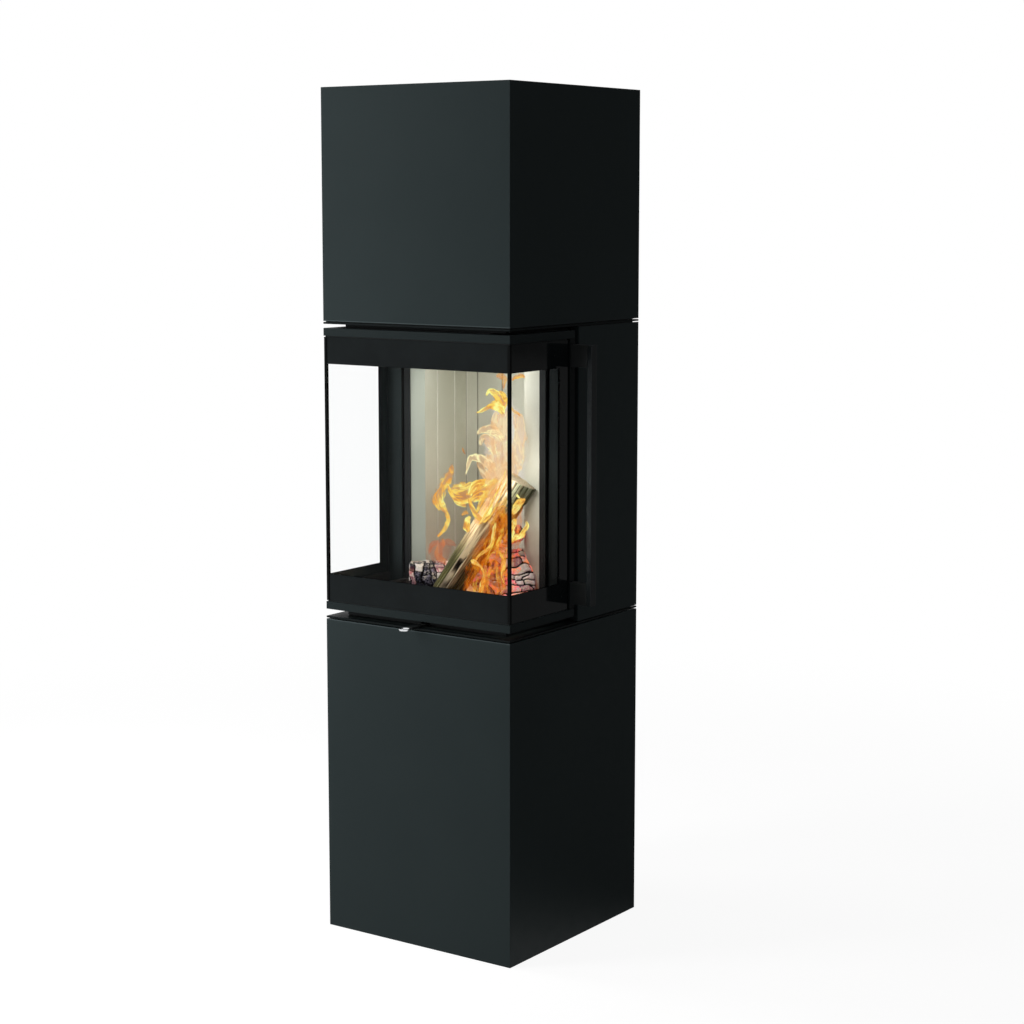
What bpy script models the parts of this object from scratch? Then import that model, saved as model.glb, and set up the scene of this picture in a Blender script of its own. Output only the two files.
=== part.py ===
"""A slim column fireplace with glass on three sides, modelled piece by piece.

Metres, +Z up. The origin is on the floor at the middle of the square footprint. The front faces -Y,
and the side with the handle is +X. The U-shaped door turns on pins at its rear left post.
"""
import math

import bmesh
import bpy
from mathutils import Matrix, Vector

# Driving dimensions of the whole stove
WIDTH = 0.404
DEPTH = 0.404
LOWER_CASE_HEIGHT = 0.570
LOWER_SHADOW_GAP = 0.002
PLATE_THICKNESS = 0.0033
DOOR_SLOT_BELOW = 0.0125
DOOR_HEIGHT = 0.5041
DOOR_SLOT_ABOVE = 0.0072
UPPER_SHADOW_GAP = 0.0017
UPPER_CASE_HEIGHT = 0.4069

# Fits: pieces that touch, running parts, cutters that reach past what they cut
SEAT_GAP = 0.0003
RUNNING_GAP = 0.0005
OVERRUN = 0.005
WELD_DISTANCE = 0.00001

# Sheet metal
SHEET = 0.003
EDGE_ROUND = 0.0006
EDGE_SEGMENTS = 2
EDGE_ANGLE = math.radians(35)
REAR_INSET = 0.012
NECK_RECESS = 0.028
NECK_WALL = 0.004
CARRIER_WIDTH = 0.005
CARRIER_HEIGHT = 0.009

# Door
DOOR_REACH = 0.196
DOOR_REAR_GAP = 0.012
RAIL_HEIGHT = 0.0138
FRAME_WIDTH = 0.014
POST_DEPTH = 0.015
POST_WEB = 0.003
FLANGE_WIDTH = 0.038
FLANGE_THICKNESS = 0.003
GLASS_THICKNESS = 0.004
GLASS_RECESS = 0.002
GLASS_POST_GAP = 0.005
SEAL_RECESS = 0.0008
RETAINER_THICKNESS = 0.0014
RETAINER_HEIGHT = 0.030
RETAINER_LIP_SETBACK = 0.0005
GASKET_WIDTH = 0.010
GASKET_INSET = 0.002
HINGE_INSET = 0.0075
PIN_DIAMETER = 0.008
PIN_CLEARANCE = 0.0003
PIN_END_MARGIN = 0.001
BUSH_WALL = 0.0015
BUSH_FLANGE_WIDTH = 0.001
BRACKET_THICKNESS = 0.008
BRACKET_HALF_DEPTH = 0.012
BRACKET_EDGE_SETBACK = 0.0015
UPPER_BRACKET_THICKNESS = 0.005

# Handle
HANDLE_LENGTH = 0.4561
HANDLE_REACH = 0.045
HANDLE_ARM_HEIGHT = 0.039
HANDLE_ARM_DEPTH = 0.015
GRIP_THICKNESS = 0.0098
GRIP_DEPTH = 0.016
HANDLE_ROUND = 0.001

# Fire chamber
SWING_CLEARANCE = 0.004
ARC_POINTS = 7
HEARTH_DROP = 0.001
HEARTH_THICKNESS = 0.0112
HEARTH_SIDE_MARGIN = 0.008
CEILING_RISE = 0.001
CEILING_THICKNESS = 0.0109
CHAMBER_INSET = 0.0586
REAR_AIR_SPACE = 0.0507
CARCASS_WALL = 0.004
CARCASS_LIP_WIDTH = 0.0129
CARCASS_LIP_THICKNESS = 0.003
CARCASS_FRONT = 0.172
SEAL_FACE_DEPTH = 0.184
SEAL_FACE_INSET = 0.022
LINING_THICKNESS = 0.033
LINING_SETBACK = 0.002
GROOVE_WIDTH = 0.004
GROOVE_DEPTH = 0.0025
SIDE_GROOVE_SHARES = (0.30, 0.714)
BACK_GROOVE_SHARES = (0.2065, 0.402, 0.598, 0.7935)
CHAMBER_FLOOR_THICKNESS = 0.012
TRAY_THICKNESS = 0.012
TRAY_RIM_WIDTH = 0.010
TRAY_RIM_HEIGHT = 0.014
TRAY_INSET = 0.044
TRAY_FRONT = 0.030
BAFFLE_THICKNESS = 0.020
BAFFLE_FRONT = 0.206
BAFFLE_SIDE_GAP = 0.001
SMOKE_PASSAGE_HEIGHT = 0.0214

# Flue
FLUE_DIAMETER = 0.150
FLUE_WALL = 0.002
FLUE_REAR_MARGIN = 0.0073
FLUE_ABOVE_TOP = 0.004
FLUE_PLAY = 0.001
COLLAR_WIDTH = 0.018
COLLAR_THICKNESS = 0.003
ROUND_STEPS = 48

# Lower casing
BASE_THICKNESS = 0.005
COLUMN_INSET = 0.057
COLUMN_WALL = 0.004
PIN_STEPS = 24
AIR_DUCT_WALL = 0.0015
AIR_DUCT_INSERTION = 0.010
AIR_DUCT_BEND = 0.090
AIR_DUCT_BEND_POINTS = 5
AIR_ELBOW_STRAIGHT = 0.030
AIR_DUCT_RESOLUTION = 4
AIR_INLET_HEIGHT = 0.250
AIR_COLLAR_DIAMETER = 0.080
AIR_COLLAR_WALL = 0.002
AIR_COLLAR_FLANGE = 0.012
VENT_LENGTH = 0.180
VENT_HEIGHT = 0.008
VENT_PITCH = 0.022
VENT_COUNT = 5
VENT_TOP_MARGIN = 0.060

# Air control
AIR_HOLE_DIAMETER = 0.070
AIR_HOLE_DEPTH = 0.150
SHUTTER_WIDTH = 0.100
SHUTTER_LENGTH = 0.090
SHUTTER_REST_PULL = 0.015
LEVER_WIDTH = 0.014
LEVER_THICKNESS = 0.004
LEVER_SLOT_PLAY = 0.003
GUIDE_WIDTH = 0.008
GUIDE_HEIGHT = 0.006
GUIDE_LENGTH = 0.130
RING_OUTER_DIAMETER = 0.022
RING_THICKNESS = 0.004
RING_REACH = 0.030
RING_STEPS = 32
RING_SECTION_STEPS = 8

# Logs: both ends of the axis as (across, depth, height), the radius, and how much of it is lost by the
# far end. Across, height and radius are shares of half the chamber's width, and depth is a share of the
# way from the tray's edge to the back. The turn shares say where round a log its ripple starts.
LOG_RINGS = 11
LOG_POINTS = 16
LOG_ROUGHNESS_SHARE = 0.05
LEANING_LOG_SHARES = ((0.082, 0.155, 0.174), (1.096, 0.380, 1.957), 0.280, 0)
LEFT_LOG_SHARES = ((-0.799, 0.247, 0.280), (-0.236, 0.406, 0.280), 0.280, 0)
MIDDLE_LOG_SHARES = ((0.427, 0.421, 0.327), (0.163, 0.856, 0.327), 0.327, 0)
RIGHT_LOG_SHARES = ((1.099, 0.391, 0.097), (0.908, 0.443, 0.860), 0.263, 0.25)
CROSS_LOG_SHARES = ((-0.272, 0.764, 0.674), (1.054, 0.432, 1.133), 0.145, 0)
LOG_TURN_SHARES = (0.06, 0.18, 0.37, 0.48, 0.67)
SPLIT_SHARES = (
    1.00, 0.97, 0.93, 0.86, 0.80, 0.86, 0.98, 1.12, 0.98, 0.80, 0.70, 0.74, 0.86, 1.10, 1.02, 0.98,
)
ROUND_SHARES = (
    1.00, 0.98, 1.02, 1.00, 0.95, 0.97, 1.03, 1.00, 0.94, 0.92, 0.97, 1.02, 1.04, 1.00, 0.96, 0.98,
)
EMBER_PLACE_SHARES = (0.800, 0.129, 0)
EMBER_HALF_WIDTH_SHARE = 0.330
EMBER_HALF_DEPTH_SHARE = 0.165
EMBER_HEIGHT_SHARE = 0.073
EMBER_RINGS = 5

# Levels above the floor
LOWER_PLATE_LOW = LOWER_CASE_HEIGHT + LOWER_SHADOW_GAP
LOWER_PLATE_TOP = LOWER_PLATE_LOW + PLATE_THICKNESS
DOOR_LOW = LOWER_PLATE_TOP + DOOR_SLOT_BELOW
DOOR_TOP = DOOR_LOW + DOOR_HEIGHT
UPPER_PLATE_LOW = DOOR_TOP + DOOR_SLOT_ABOVE
UPPER_PLATE_TOP = UPPER_PLATE_LOW + PLATE_THICKNESS
UPPER_CASE_LOW = UPPER_PLATE_TOP + UPPER_SHADOW_GAP
TOP = UPPER_CASE_LOW + UPPER_CASE_HEIGHT
RAIL_INNER_LOW = DOOR_LOW + RAIL_HEIGHT
RAIL_INNER_TOP = DOOR_TOP - RAIL_HEIGHT
GLASS_LOW = RAIL_INNER_LOW + SEAT_GAP + RETAINER_THICKNESS + SEAT_GAP
GLASS_TOP = RAIL_INNER_TOP - SEAT_GAP - RETAINER_THICKNESS - SEAT_GAP
HEARTH_LOW = DOOR_LOW - HEARTH_DROP
HEARTH_TOP = HEARTH_LOW + HEARTH_THICKNESS
CEILING_TOP = DOOR_TOP + CEILING_RISE
CEILING_LOW = CEILING_TOP - CEILING_THICKNESS
LINING_LOW = HEARTH_TOP + SEAT_GAP
BAFFLE_TOP = CEILING_LOW - SMOKE_PASSAGE_HEIGHT
BAFFLE_LOW = BAFFLE_TOP - BAFFLE_THICKNESS
LINING_TOP = BAFFLE_LOW - SEAT_GAP
TRAY_FLOOR = LINING_LOW + TRAY_THICKNESS
HANDLE_LOW = (DOOR_LOW + DOOR_TOP - HANDLE_LENGTH) / 2
HANDLE_TOP = HANDLE_LOW + HANDLE_LENGTH

# Places in plan
SIDE = WIDTH / 2
FRONT = -DEPTH / 2
REAR = DEPTH / 2
CASE_INSIDE = SIDE - SHEET
REAR_PANEL_OUTER = REAR - REAR_INSET
REAR_PANEL_INNER = REAR_PANEL_OUTER - SHEET
DOOR_REAR = FRONT + DOOR_REACH
POST_FRONT = DOOR_REAR - POST_DEPTH
MID_FRONT = DOOR_REAR + DOOR_REAR_GAP
GLASS_OUTER = SIDE - GLASS_RECESS
GLASS_INNER = GLASS_OUTER - GLASS_THICKNESS
GLASS_REAR = POST_FRONT - GLASS_POST_GAP
FLANGE_REAR = GLASS_REAR
FLANGE_FRONT = FLANGE_REAR - FLANGE_THICKNESS
HINGE_X = -(SIDE - HINGE_INSET)
HINGE_Y = DOOR_REAR - POST_DEPTH / 2
PIN_HOLE_RADIUS = PIN_DIAMETER / 2 + PIN_CLEARANCE
NECK_SIDE = SIDE - NECK_RECESS
NECK_FRONT = FRONT + NECK_RECESS
RAIL_SWING = SIDE - FRAME_WIDTH - HINGE_X - SWING_CLEARANCE
FLANGE_SWING = SIDE - FLANGE_WIDTH - HINGE_X - SWING_CLEARANCE
CARCASS_INSIDE = SIDE - CHAMBER_INSET
CARCASS_REAR = REAR_PANEL_INNER - REAR_AIR_SPACE
LINING_INSIDE = CARCASS_INSIDE - SEAT_GAP - LINING_THICKNESS
LINING_FRONT = FRONT + CARCASS_FRONT + LINING_SETBACK
LINING_REAR = CARCASS_REAR - CARCASS_WALL - SEAT_GAP
CHAMBER_BACK = LINING_REAR - LINING_THICKNESS
SEAL_FACE_SIDE = SIDE - SEAL_FACE_INSET
TRAY_SIDE = SIDE - TRAY_INSET
TRAY_NEAR = FRONT + TRAY_FRONT
FLUE_RADIUS = FLUE_DIAMETER / 2
FLUE_Y = CARCASS_REAR - CARCASS_WALL - FLUE_REAR_MARGIN - FLUE_RADIUS
COLUMN_SIDE = SIDE - COLUMN_INSET
COLUMN_REAR = REAR - COLUMN_INSET
AIR_HOLE_Y = FRONT + AIR_HOLE_DEPTH
AIR_BEND_Y = AIR_HOLE_Y + AIR_DUCT_BEND
ELBOW_REAR = AIR_BEND_Y + AIR_ELBOW_STRAIGHT
LEVER_LOW = LOWER_PLATE_TOP + SEAT_GAP
RING_Y = FRONT - RING_REACH


def start_clean():
    """Remove what the scene holds and make the two collections."""
    for old in list(bpy.data.objects):
        bpy.data.objects.remove(old, do_unlink=True)
    collections = {}
    for key, name in (("part", "three_sided_fireplace"), ("cutters", "cutters")):
        collections[key] = bpy.data.collections.new(name)
        bpy.context.scene.collection.children.link(collections[key])
    return collections


COLLECTIONS = start_clean()


def make_material(name, colour, roughness, metallic=0, alpha=1, glow=0):
    """A Principled material in linear colour."""
    material = bpy.data.materials.new(name)
    material.use_nodes = True
    shader = material.node_tree.nodes["Principled BSDF"]
    shader.inputs["Base Color"].default_value = (*colour, 1)
    shader.inputs["Roughness"].default_value = roughness
    shader.inputs["Metallic"].default_value = metallic
    shader.inputs["Alpha"].default_value = alpha
    if glow:
        shader.inputs["Emission Color"].default_value = (*colour, 1)
        shader.inputs["Emission Strength"].default_value = glow
    material.diffuse_color = (*colour, alpha)
    return material


FINISHES = {
    "coated_steel": make_material("coated_steel", (0.040, 0.052, 0.054), 0.45, 0.3),
    "dark_steel": make_material("dark_steel", (0.012, 0.013, 0.014), 0.6, 0.3),
    "cast_iron": make_material("cast_iron", (0.016, 0.016, 0.017), 0.75, 0.4),
    "plain_steel": make_material("plain_steel", (0.35, 0.36, 0.37), 0.4, 1),
    "glass": make_material("glass", (0.75, 0.80, 0.80), 0.04, 0, 0.25),
    "seal_black": make_material("seal_black", (0.008, 0.009, 0.010), 0.5),
    "gasket_rope": make_material("gasket_rope", (0.05, 0.05, 0.05), 0.95),
    "fireclay": make_material("fireclay", (0.42, 0.40, 0.30), 0.9),
    "satin_steel": make_material("satin_steel", (0.10, 0.12, 0.13), 0.3, 0.8),
    "polished_steel": make_material("polished_steel", (0.75, 0.76, 0.76), 0.15, 1),
    "bronze": make_material("bronze", (0.45, 0.28, 0.10), 0.4, 1),
    "split_wood": make_material("split_wood", (0.40, 0.30, 0.17), 0.85),
    "charred_wood": make_material("charred_wood", (0.10, 0.09, 0.08), 0.95),
    "embers": make_material("embers", (0.90, 0.22, 0.04), 0.9, 0, 1, 2),
}


def add_mesh_object(name, mesh, finish, place=(0, 0, 0), collection="part"):
    """Put a mesh in the scene under its own name, with its material."""
    mesh.name = name
    thing = bpy.data.objects.new(name, mesh)
    thing.location = place
    COLLECTIONS[collection].objects.link(thing)
    if finish:
        mesh.materials.append(FINISHES[finish])
    return thing


def box(name, finish, low, high, collection="part"):
    """A box between two opposite corners, placed by its middle."""
    size = [b - a for a, b in zip(low, high)]
    middle = [(a + b) / 2 for a, b in zip(low, high)]
    shape = bmesh.new()
    bmesh.ops.create_cube(shape, size=1, matrix=Matrix.Diagonal((*size, 1)))
    mesh = bpy.data.meshes.new(name)
    shape.to_mesh(mesh)
    shape.free()
    return add_mesh_object(name, mesh, finish, middle, collection)


def outline_mesh(name, outlines, thickness):
    """A flat outline with any holes in it, extruded to both sides of its plane and welded."""
    curve = bpy.data.curves.new(name, "CURVE")
    curve.dimensions = "2D"
    curve.fill_mode = "BOTH"
    curve.extrude = thickness / 2
    for points in outlines:
        spline = curve.splines.new("POLY")
        spline.points.add(len(points) - 1)
        for target, point in zip(spline.points, points):
            target.co = (*point, 0, 1)
        spline.use_cyclic_u = True
    guide = bpy.data.objects.new(name, curve)
    COLLECTIONS["cutters"].objects.link(guide)
    evaluated = guide.evaluated_get(bpy.context.evaluated_depsgraph_get())
    mesh = bpy.data.meshes.new_from_object(evaluated)
    bpy.data.objects.remove(guide, do_unlink=True)
    bpy.data.curves.remove(curve)
    shape = bmesh.new()
    shape.from_mesh(mesh)
    bmesh.ops.remove_doubles(shape, verts=shape.verts, dist=WELD_DISTANCE)
    bmesh.ops.recalc_face_normals(shape, faces=shape.faces)
    shape.to_mesh(mesh)
    shape.free()
    return mesh


def prism(name, finish, outlines, low, high, collection="part"):
    """An upright prism over a plan outline, between two levels."""
    mesh = outline_mesh(name, outlines, high - low)
    return add_mesh_object(name, mesh, finish, (0, 0, (low + high) / 2), collection)


def upright_panel(name, finish, outlines, near, far):
    """A panel that faces the rear: outlines in x and height, between two places along Y."""
    mesh = outline_mesh(name, outlines, far - near)
    mesh.transform(Matrix.Rotation(math.radians(90), 4, "X"))
    return add_mesh_object(name, mesh, finish, (0, (near + far) / 2, 0))


def turned(name, finish, profile, place, steps=ROUND_STEPS, collection="part"):
    """A profile of (radius, height) points, outer side from top to bottom, turned about Z."""
    mesh = bpy.data.meshes.new(name)
    points = [(radius, 0, height) for radius, height in profile]
    closed = profile[0][0] > 0
    edges = [(i, i + 1) for i in range(len(points) - 1)]
    if closed:
        edges.append((len(points) - 1, 0))
    mesh.from_pydata(points, edges, [])
    thing = add_mesh_object(name, mesh, finish, place, collection)
    screw = thing.modifiers.new("turn", "SCREW")
    screw.steps = steps
    screw.render_steps = steps
    screw.use_merge_vertices = True
    screw.merge_threshold = WELD_DISTANCE
    screw.use_smooth_shade = False
    return thing


def rod(name, finish, radius, low, high, place, steps=ROUND_STEPS, collection="part"):
    """A plain round bar along Z."""
    shape = bmesh.new()
    bmesh.ops.create_cone(
        shape, cap_ends=True, segments=steps, radius1=radius, radius2=radius, depth=high - low
    )
    mesh = bpy.data.meshes.new(name)
    shape.to_mesh(mesh)
    shape.free()
    return add_mesh_object(name, mesh, finish, (*place, (low + high) / 2), collection)


def cut(target, cutter, operation="DIFFERENCE"):
    """Cut a piece with a cutter, or join a second body to it."""
    cutter.hide_render = True
    cutter.display_type = "WIRE"
    modifier = target.modifiers.new(cutter.name, "BOOLEAN")
    modifier.operation = operation
    modifier.solver = "EXACT"
    modifier.object = cutter


def soften(thing, width=EDGE_ROUND, segments=EDGE_SEGMENTS):
    """Small rounded edges."""
    bevel = thing.modifiers.new("edges", "BEVEL")
    bevel.width = width
    bevel.segments = segments
    bevel.limit_method = "ANGLE"
    bevel.angle_limit = EDGE_ANGLE


def shade_round(thing, angle=EDGE_ANGLE):
    """Smooth shading with sharp edges kept."""
    thing.data.shade_smooth()
    thing.data.set_sharp_from_angle(angle=angle)


def rectangle(left, right, near, far):
    """The four corners of a rectangle."""
    return [(left, near), (right, near), (right, far), (left, far)]


def circle(centre, radius, steps=ROUND_STEPS):
    """Points round a circle."""
    turn = 2 * math.pi / steps
    return [
        (centre[0] + radius * math.cos(turn * i), centre[1] + radius * math.sin(turn * i))
        for i in range(steps)
    ]


def u_outline(side, near, far, width):
    """A U in plan, open at the rear, that runs round the front and both sides."""
    inner = side - width
    return [
        (-side, near), (side, near), (side, far), (inner, far),
        (inner, near + width), (-inner, near + width), (-inner, far), (-side, far),
    ]


def mirrored(points):
    """The same outline on the other side of the stove."""
    return [(-x, y) for x, y in points]


def swing_outline(side, near, far, reach):
    """A rectangle in plan whose front right corner stays within reach of the door's hinge."""
    first = -math.asin((HINGE_Y - near) / reach)
    last = -math.acos((side - HINGE_X) / reach)
    angles = [first + (last - first) * i / (ARC_POINTS - 1) for i in range(ARC_POINTS)]
    arc = [(HINGE_X + reach * math.cos(a), HINGE_Y + reach * math.sin(a)) for a in angles]
    return [(-side, near)] + arc + [(side, far), (-side, far)]


def open_shell(name, low, high, round_hole=None, square_hole=None):
    """A folded sheet casing: front, both sides and top, open below and behind."""
    size = (WIDTH, DEPTH, high - low)
    shape = bmesh.new()
    bmesh.ops.create_cube(shape, size=1, matrix=Matrix.Diagonal((*size, 1)))
    missing = [face for face in shape.faces if face.normal.y > 0.5 or face.normal.z < -0.5]
    bmesh.ops.delete(shape, geom=missing, context="FACES_ONLY")
    mesh = bpy.data.meshes.new(name)
    shape.to_mesh(mesh)
    shape.free()
    casing = add_mesh_object(name, mesh, "coated_steel", (0, 0, (low + high) / 2))
    wall = casing.modifiers.new("sheet", "SOLIDIFY")
    wall.thickness = SHEET
    wall.offset = -1
    wall.use_even_offset = True
    cut_low = high - SHEET - OVERRUN
    cut_high = high + OVERRUN
    hole_name = name + "_opening"
    if round_hole:
        cut(casing, rod(hole_name, None, round_hole, cut_low, cut_high, (0, FLUE_Y), ROUND_STEPS, "cutters"))
    if square_hole:
        side, rear = square_hole
        cut(casing, box(hole_name, None, (-side, -rear, cut_low), (side, rear, cut_high), "cutters"))
    soften(casing)
    return casing


def make_lower_part():
    """What stands on the floor: base, column, casing, air inlet and the thin plate."""
    box(
        "base_plate", "dark_steel",
        (-CASE_INSIDE + SEAT_GAP, FRONT + SHEET + SEAT_GAP, 0),
        (CASE_INSIDE - SEAT_GAP, REAR_PANEL_INNER - SEAT_GAP, BASE_THICKNESS),
    )
    inner = COLUMN_SIDE - COLUMN_WALL
    inner_rear = COLUMN_REAR - COLUMN_WALL
    column_lines = [
        rectangle(-COLUMN_SIDE, COLUMN_SIDE, -COLUMN_REAR, COLUMN_REAR),
        rectangle(-inner, inner, -inner_rear, inner_rear),
    ]
    column = prism(
        "support_column", "dark_steel", column_lines, BASE_THICKNESS + SEAT_GAP, LOWER_PLATE_LOW - SEAT_GAP
    )
    column_hole = (COLUMN_SIDE + SEAT_GAP, COLUMN_REAR + SEAT_GAP)
    open_shell("lower_casing", 0, LOWER_CASE_HEIGHT, square_hole=column_hole)

    panel_side = CASE_INSIDE - SEAT_GAP
    panel_top = LOWER_CASE_HEIGHT - SHEET - SEAT_GAP
    collar_radius = AIR_COLLAR_DIAMETER / 2
    upright_panel(
        "lower_rear_panel", "coated_steel",
        [rectangle(-panel_side, panel_side, 0, panel_top),
         circle((0, AIR_INLET_HEIGHT), collar_radius + SEAT_GAP)],
        REAR_PANEL_INNER, REAR_PANEL_OUTER,
    )
    bore = collar_radius - AIR_COLLAR_WALL
    flange = collar_radius + AIR_COLLAR_FLANGE
    flange_top = REAR_PANEL_INNER - SEAT_GAP
    flange_low = flange_top - AIR_COLLAR_WALL
    collar_top = REAR - AIR_COLLAR_WALL
    collar_low = ELBOW_REAR - AIR_DUCT_INSERTION
    profile = [
        (bore, collar_top), (collar_radius, collar_top), (collar_radius, flange_top),
        (flange, flange_top), (flange, flange_low), (collar_radius, flange_low),
        (collar_radius, collar_low), (bore, collar_low),
    ]
    collar = turned("air_inlet_collar", "plain_steel", profile, (0, 0, AIR_INLET_HEIGHT))
    collar.rotation_euler = (math.radians(-90), 0, 0)

    plate = box(
        "lower_plate", "coated_steel", (-SIDE, FRONT, LOWER_PLATE_LOW), (SIDE, REAR, LOWER_PLATE_TOP)
    )
    hole = rod(
        "air_hole", None, AIR_HOLE_DIAMETER / 2, LOWER_PLATE_LOW - OVERRUN, LOWER_PLATE_TOP + OVERRUN,
        (0, AIR_HOLE_Y), ROUND_STEPS, "cutters",
    )
    cut(plate, hole)
    soften(plate)
    make_air_duct()
    make_spigot_hole(column, collar_radius + SEAT_GAP)


def make_air_duct():
    """The elbow from the inlet collar and the riser up to the air hole."""
    radius = AIR_COLLAR_DIAMETER / 2 - AIR_COLLAR_WALL - SEAT_GAP
    centre = (AIR_BEND_Y, AIR_INLET_HEIGHT + AIR_DUCT_BEND)
    elbow_top = centre[1] + AIR_ELBOW_STRAIGHT
    turns = [math.pi / 2 * i / AIR_DUCT_BEND_POINTS for i in range(AIR_DUCT_BEND_POINTS + 1)]
    bend = [(centre[0] - AIR_DUCT_BEND * math.sin(a), centre[1] - AIR_DUCT_BEND * math.cos(a)) for a in turns]
    route = [(ELBOW_REAR, AIR_INLET_HEIGHT)] + bend + [(AIR_HOLE_Y, elbow_top)]
    curve = bpy.data.curves.new("air_duct", "CURVE")
    curve.dimensions = "3D"
    curve.bevel_depth = radius
    curve.bevel_resolution = AIR_DUCT_RESOLUTION
    spline = curve.splines.new("POLY")
    spline.points.add(len(route) - 1)
    for target, (y, z) in zip(spline.points, route):
        target.co = (0, y, z, 1)
    guide = bpy.data.objects.new("air_duct_guide", curve)
    COLLECTIONS["cutters"].objects.link(guide)
    evaluated = guide.evaluated_get(bpy.context.evaluated_depsgraph_get())
    mesh = bpy.data.meshes.new_from_object(evaluated)
    bpy.data.objects.remove(guide, do_unlink=True)
    bpy.data.curves.remove(curve)
    duct = add_mesh_object("air_duct", mesh, "plain_steel")
    wall = duct.modifiers.new("wall", "SOLIDIFY")
    wall.thickness = AIR_DUCT_WALL
    wall.offset = -1
    inner = radius - AIR_DUCT_WALL
    low = elbow_top + SEAT_GAP
    end = LOWER_PLATE_LOW - SEAT_GAP
    profile = [(inner, end), (radius, end), (radius, low), (inner, low)]
    shade_round(turned("air_riser", "plain_steel", profile, (0, AIR_HOLE_Y, 0)))


def make_spigot_hole(column, radius):
    """The hole in the rear wall of the column that the inlet's spigot passes through."""
    reach = COLUMN_WALL / 2 + OVERRUN
    hole = rod("spigot_hole", None, radius, -reach, reach, (0, 0), ROUND_STEPS, "cutters")
    hole.location = (0, COLUMN_REAR - COLUMN_WALL / 2, AIR_INLET_HEIGHT)
    hole.rotation_euler = (math.radians(90), 0, 0)
    cut(column, hole)


def make_air_control():
    """Guides on the lower plate, and the shutter, lever and ring that slide between them."""
    slide = bpy.data.objects.new("air_slide", None)
    slide.location = (0, RING_Y, LEVER_LOW + LEVER_THICKNESS / 2)
    COLLECTIONS["part"].objects.link(slide)
    low = LEVER_LOW
    top = LEVER_LOW + LEVER_THICKNESS
    half = SHUTTER_WIDTH / 2
    middle = AIR_HOLE_Y - SHUTTER_REST_PULL
    shutter_front = middle - SHUTTER_LENGTH / 2
    shutter = box(
        "air_shutter", "dark_steel", (-half, shutter_front, low), (half, shutter_front + SHUTTER_LENGTH, top)
    )
    lever_front = RING_Y + RING_OUTER_DIAMETER / 2 + SEAT_GAP
    lever = box(
        "air_lever", "dark_steel",
        (-LEVER_WIDTH / 2, lever_front, low), (LEVER_WIDTH / 2, shutter_front - SEAT_GAP, top),
    )
    soften(lever)
    section = RING_THICKNESS / 2
    middle_radius = RING_OUTER_DIAMETER / 2 - section
    turns = [2 * math.pi * i / RING_SECTION_STEPS for i in range(RING_SECTION_STEPS)]
    profile = [(middle_radius + section * math.cos(a), -section * math.sin(a)) for a in turns]
    ring = turned("air_ring", "polished_steel", profile, (0, RING_Y, low + section), RING_STEPS)
    shade_round(ring)
    for piece in (shutter, lever, ring):
        attach(piece, slide)

    inner = half + RUNNING_GAP
    outer = inner + GUIDE_WIDTH
    near = AIR_HOLE_Y - GUIDE_LENGTH / 2
    far = AIR_HOLE_Y + GUIDE_LENGTH / 2
    guide_line = [
        (outer, near), (outer, far), (-outer, far), (-outer, near), (-inner, near),
        (-inner, far - GUIDE_WIDTH), (inner, far - GUIDE_WIDTH), (inner, near),
    ]
    prism("shutter_guide", "dark_steel", [guide_line], low, low + GUIDE_HEIGHT)

    neck = neck_ring("lower_neck", LOWER_PLATE_TOP + SEAT_GAP, HEARTH_LOW - SEAT_GAP)
    slot_half = LEVER_WIDTH / 2 + LEVER_SLOT_PLAY
    slot = box(
        "lever_slot", None, (-slot_half, NECK_FRONT - OVERRUN, LOWER_PLATE_TOP - OVERRUN),
        (slot_half, NECK_FRONT + NECK_WALL + OVERRUN, top + LEVER_SLOT_PLAY), "cutters",
    )
    cut(neck, slot)


def neck_ring(name, low, high):
    """The recessed square ring that stands in a slot."""
    inner = NECK_SIDE - NECK_WALL
    back = REAR - NECK_RECESS
    outer_line = rectangle(-NECK_SIDE, NECK_SIDE, NECK_FRONT, back)
    inner_line = rectangle(-inner, inner, NECK_FRONT + NECK_WALL, back - NECK_WALL)
    return prism(name, "dark_steel", [outer_line, inner_line], low, high)


def attach(piece, empty):
    """Hang a piece on an empty without moving it."""
    piece.parent = empty
    piece.matrix_parent_inverse = Matrix.Translation(empty.location).inverted()


def grooved(length, shares):
    """Points along a board's face, with a V groove at each share of its length."""
    points = []
    for share in shares:
        place = length * share
        points += [
            (place - GROOVE_WIDTH / 2, 0), (place, GROOVE_DEPTH), (place + GROOVE_WIDTH / 2, 0),
        ]
    return [(0, 0)] + points + [(length, 0)]


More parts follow.
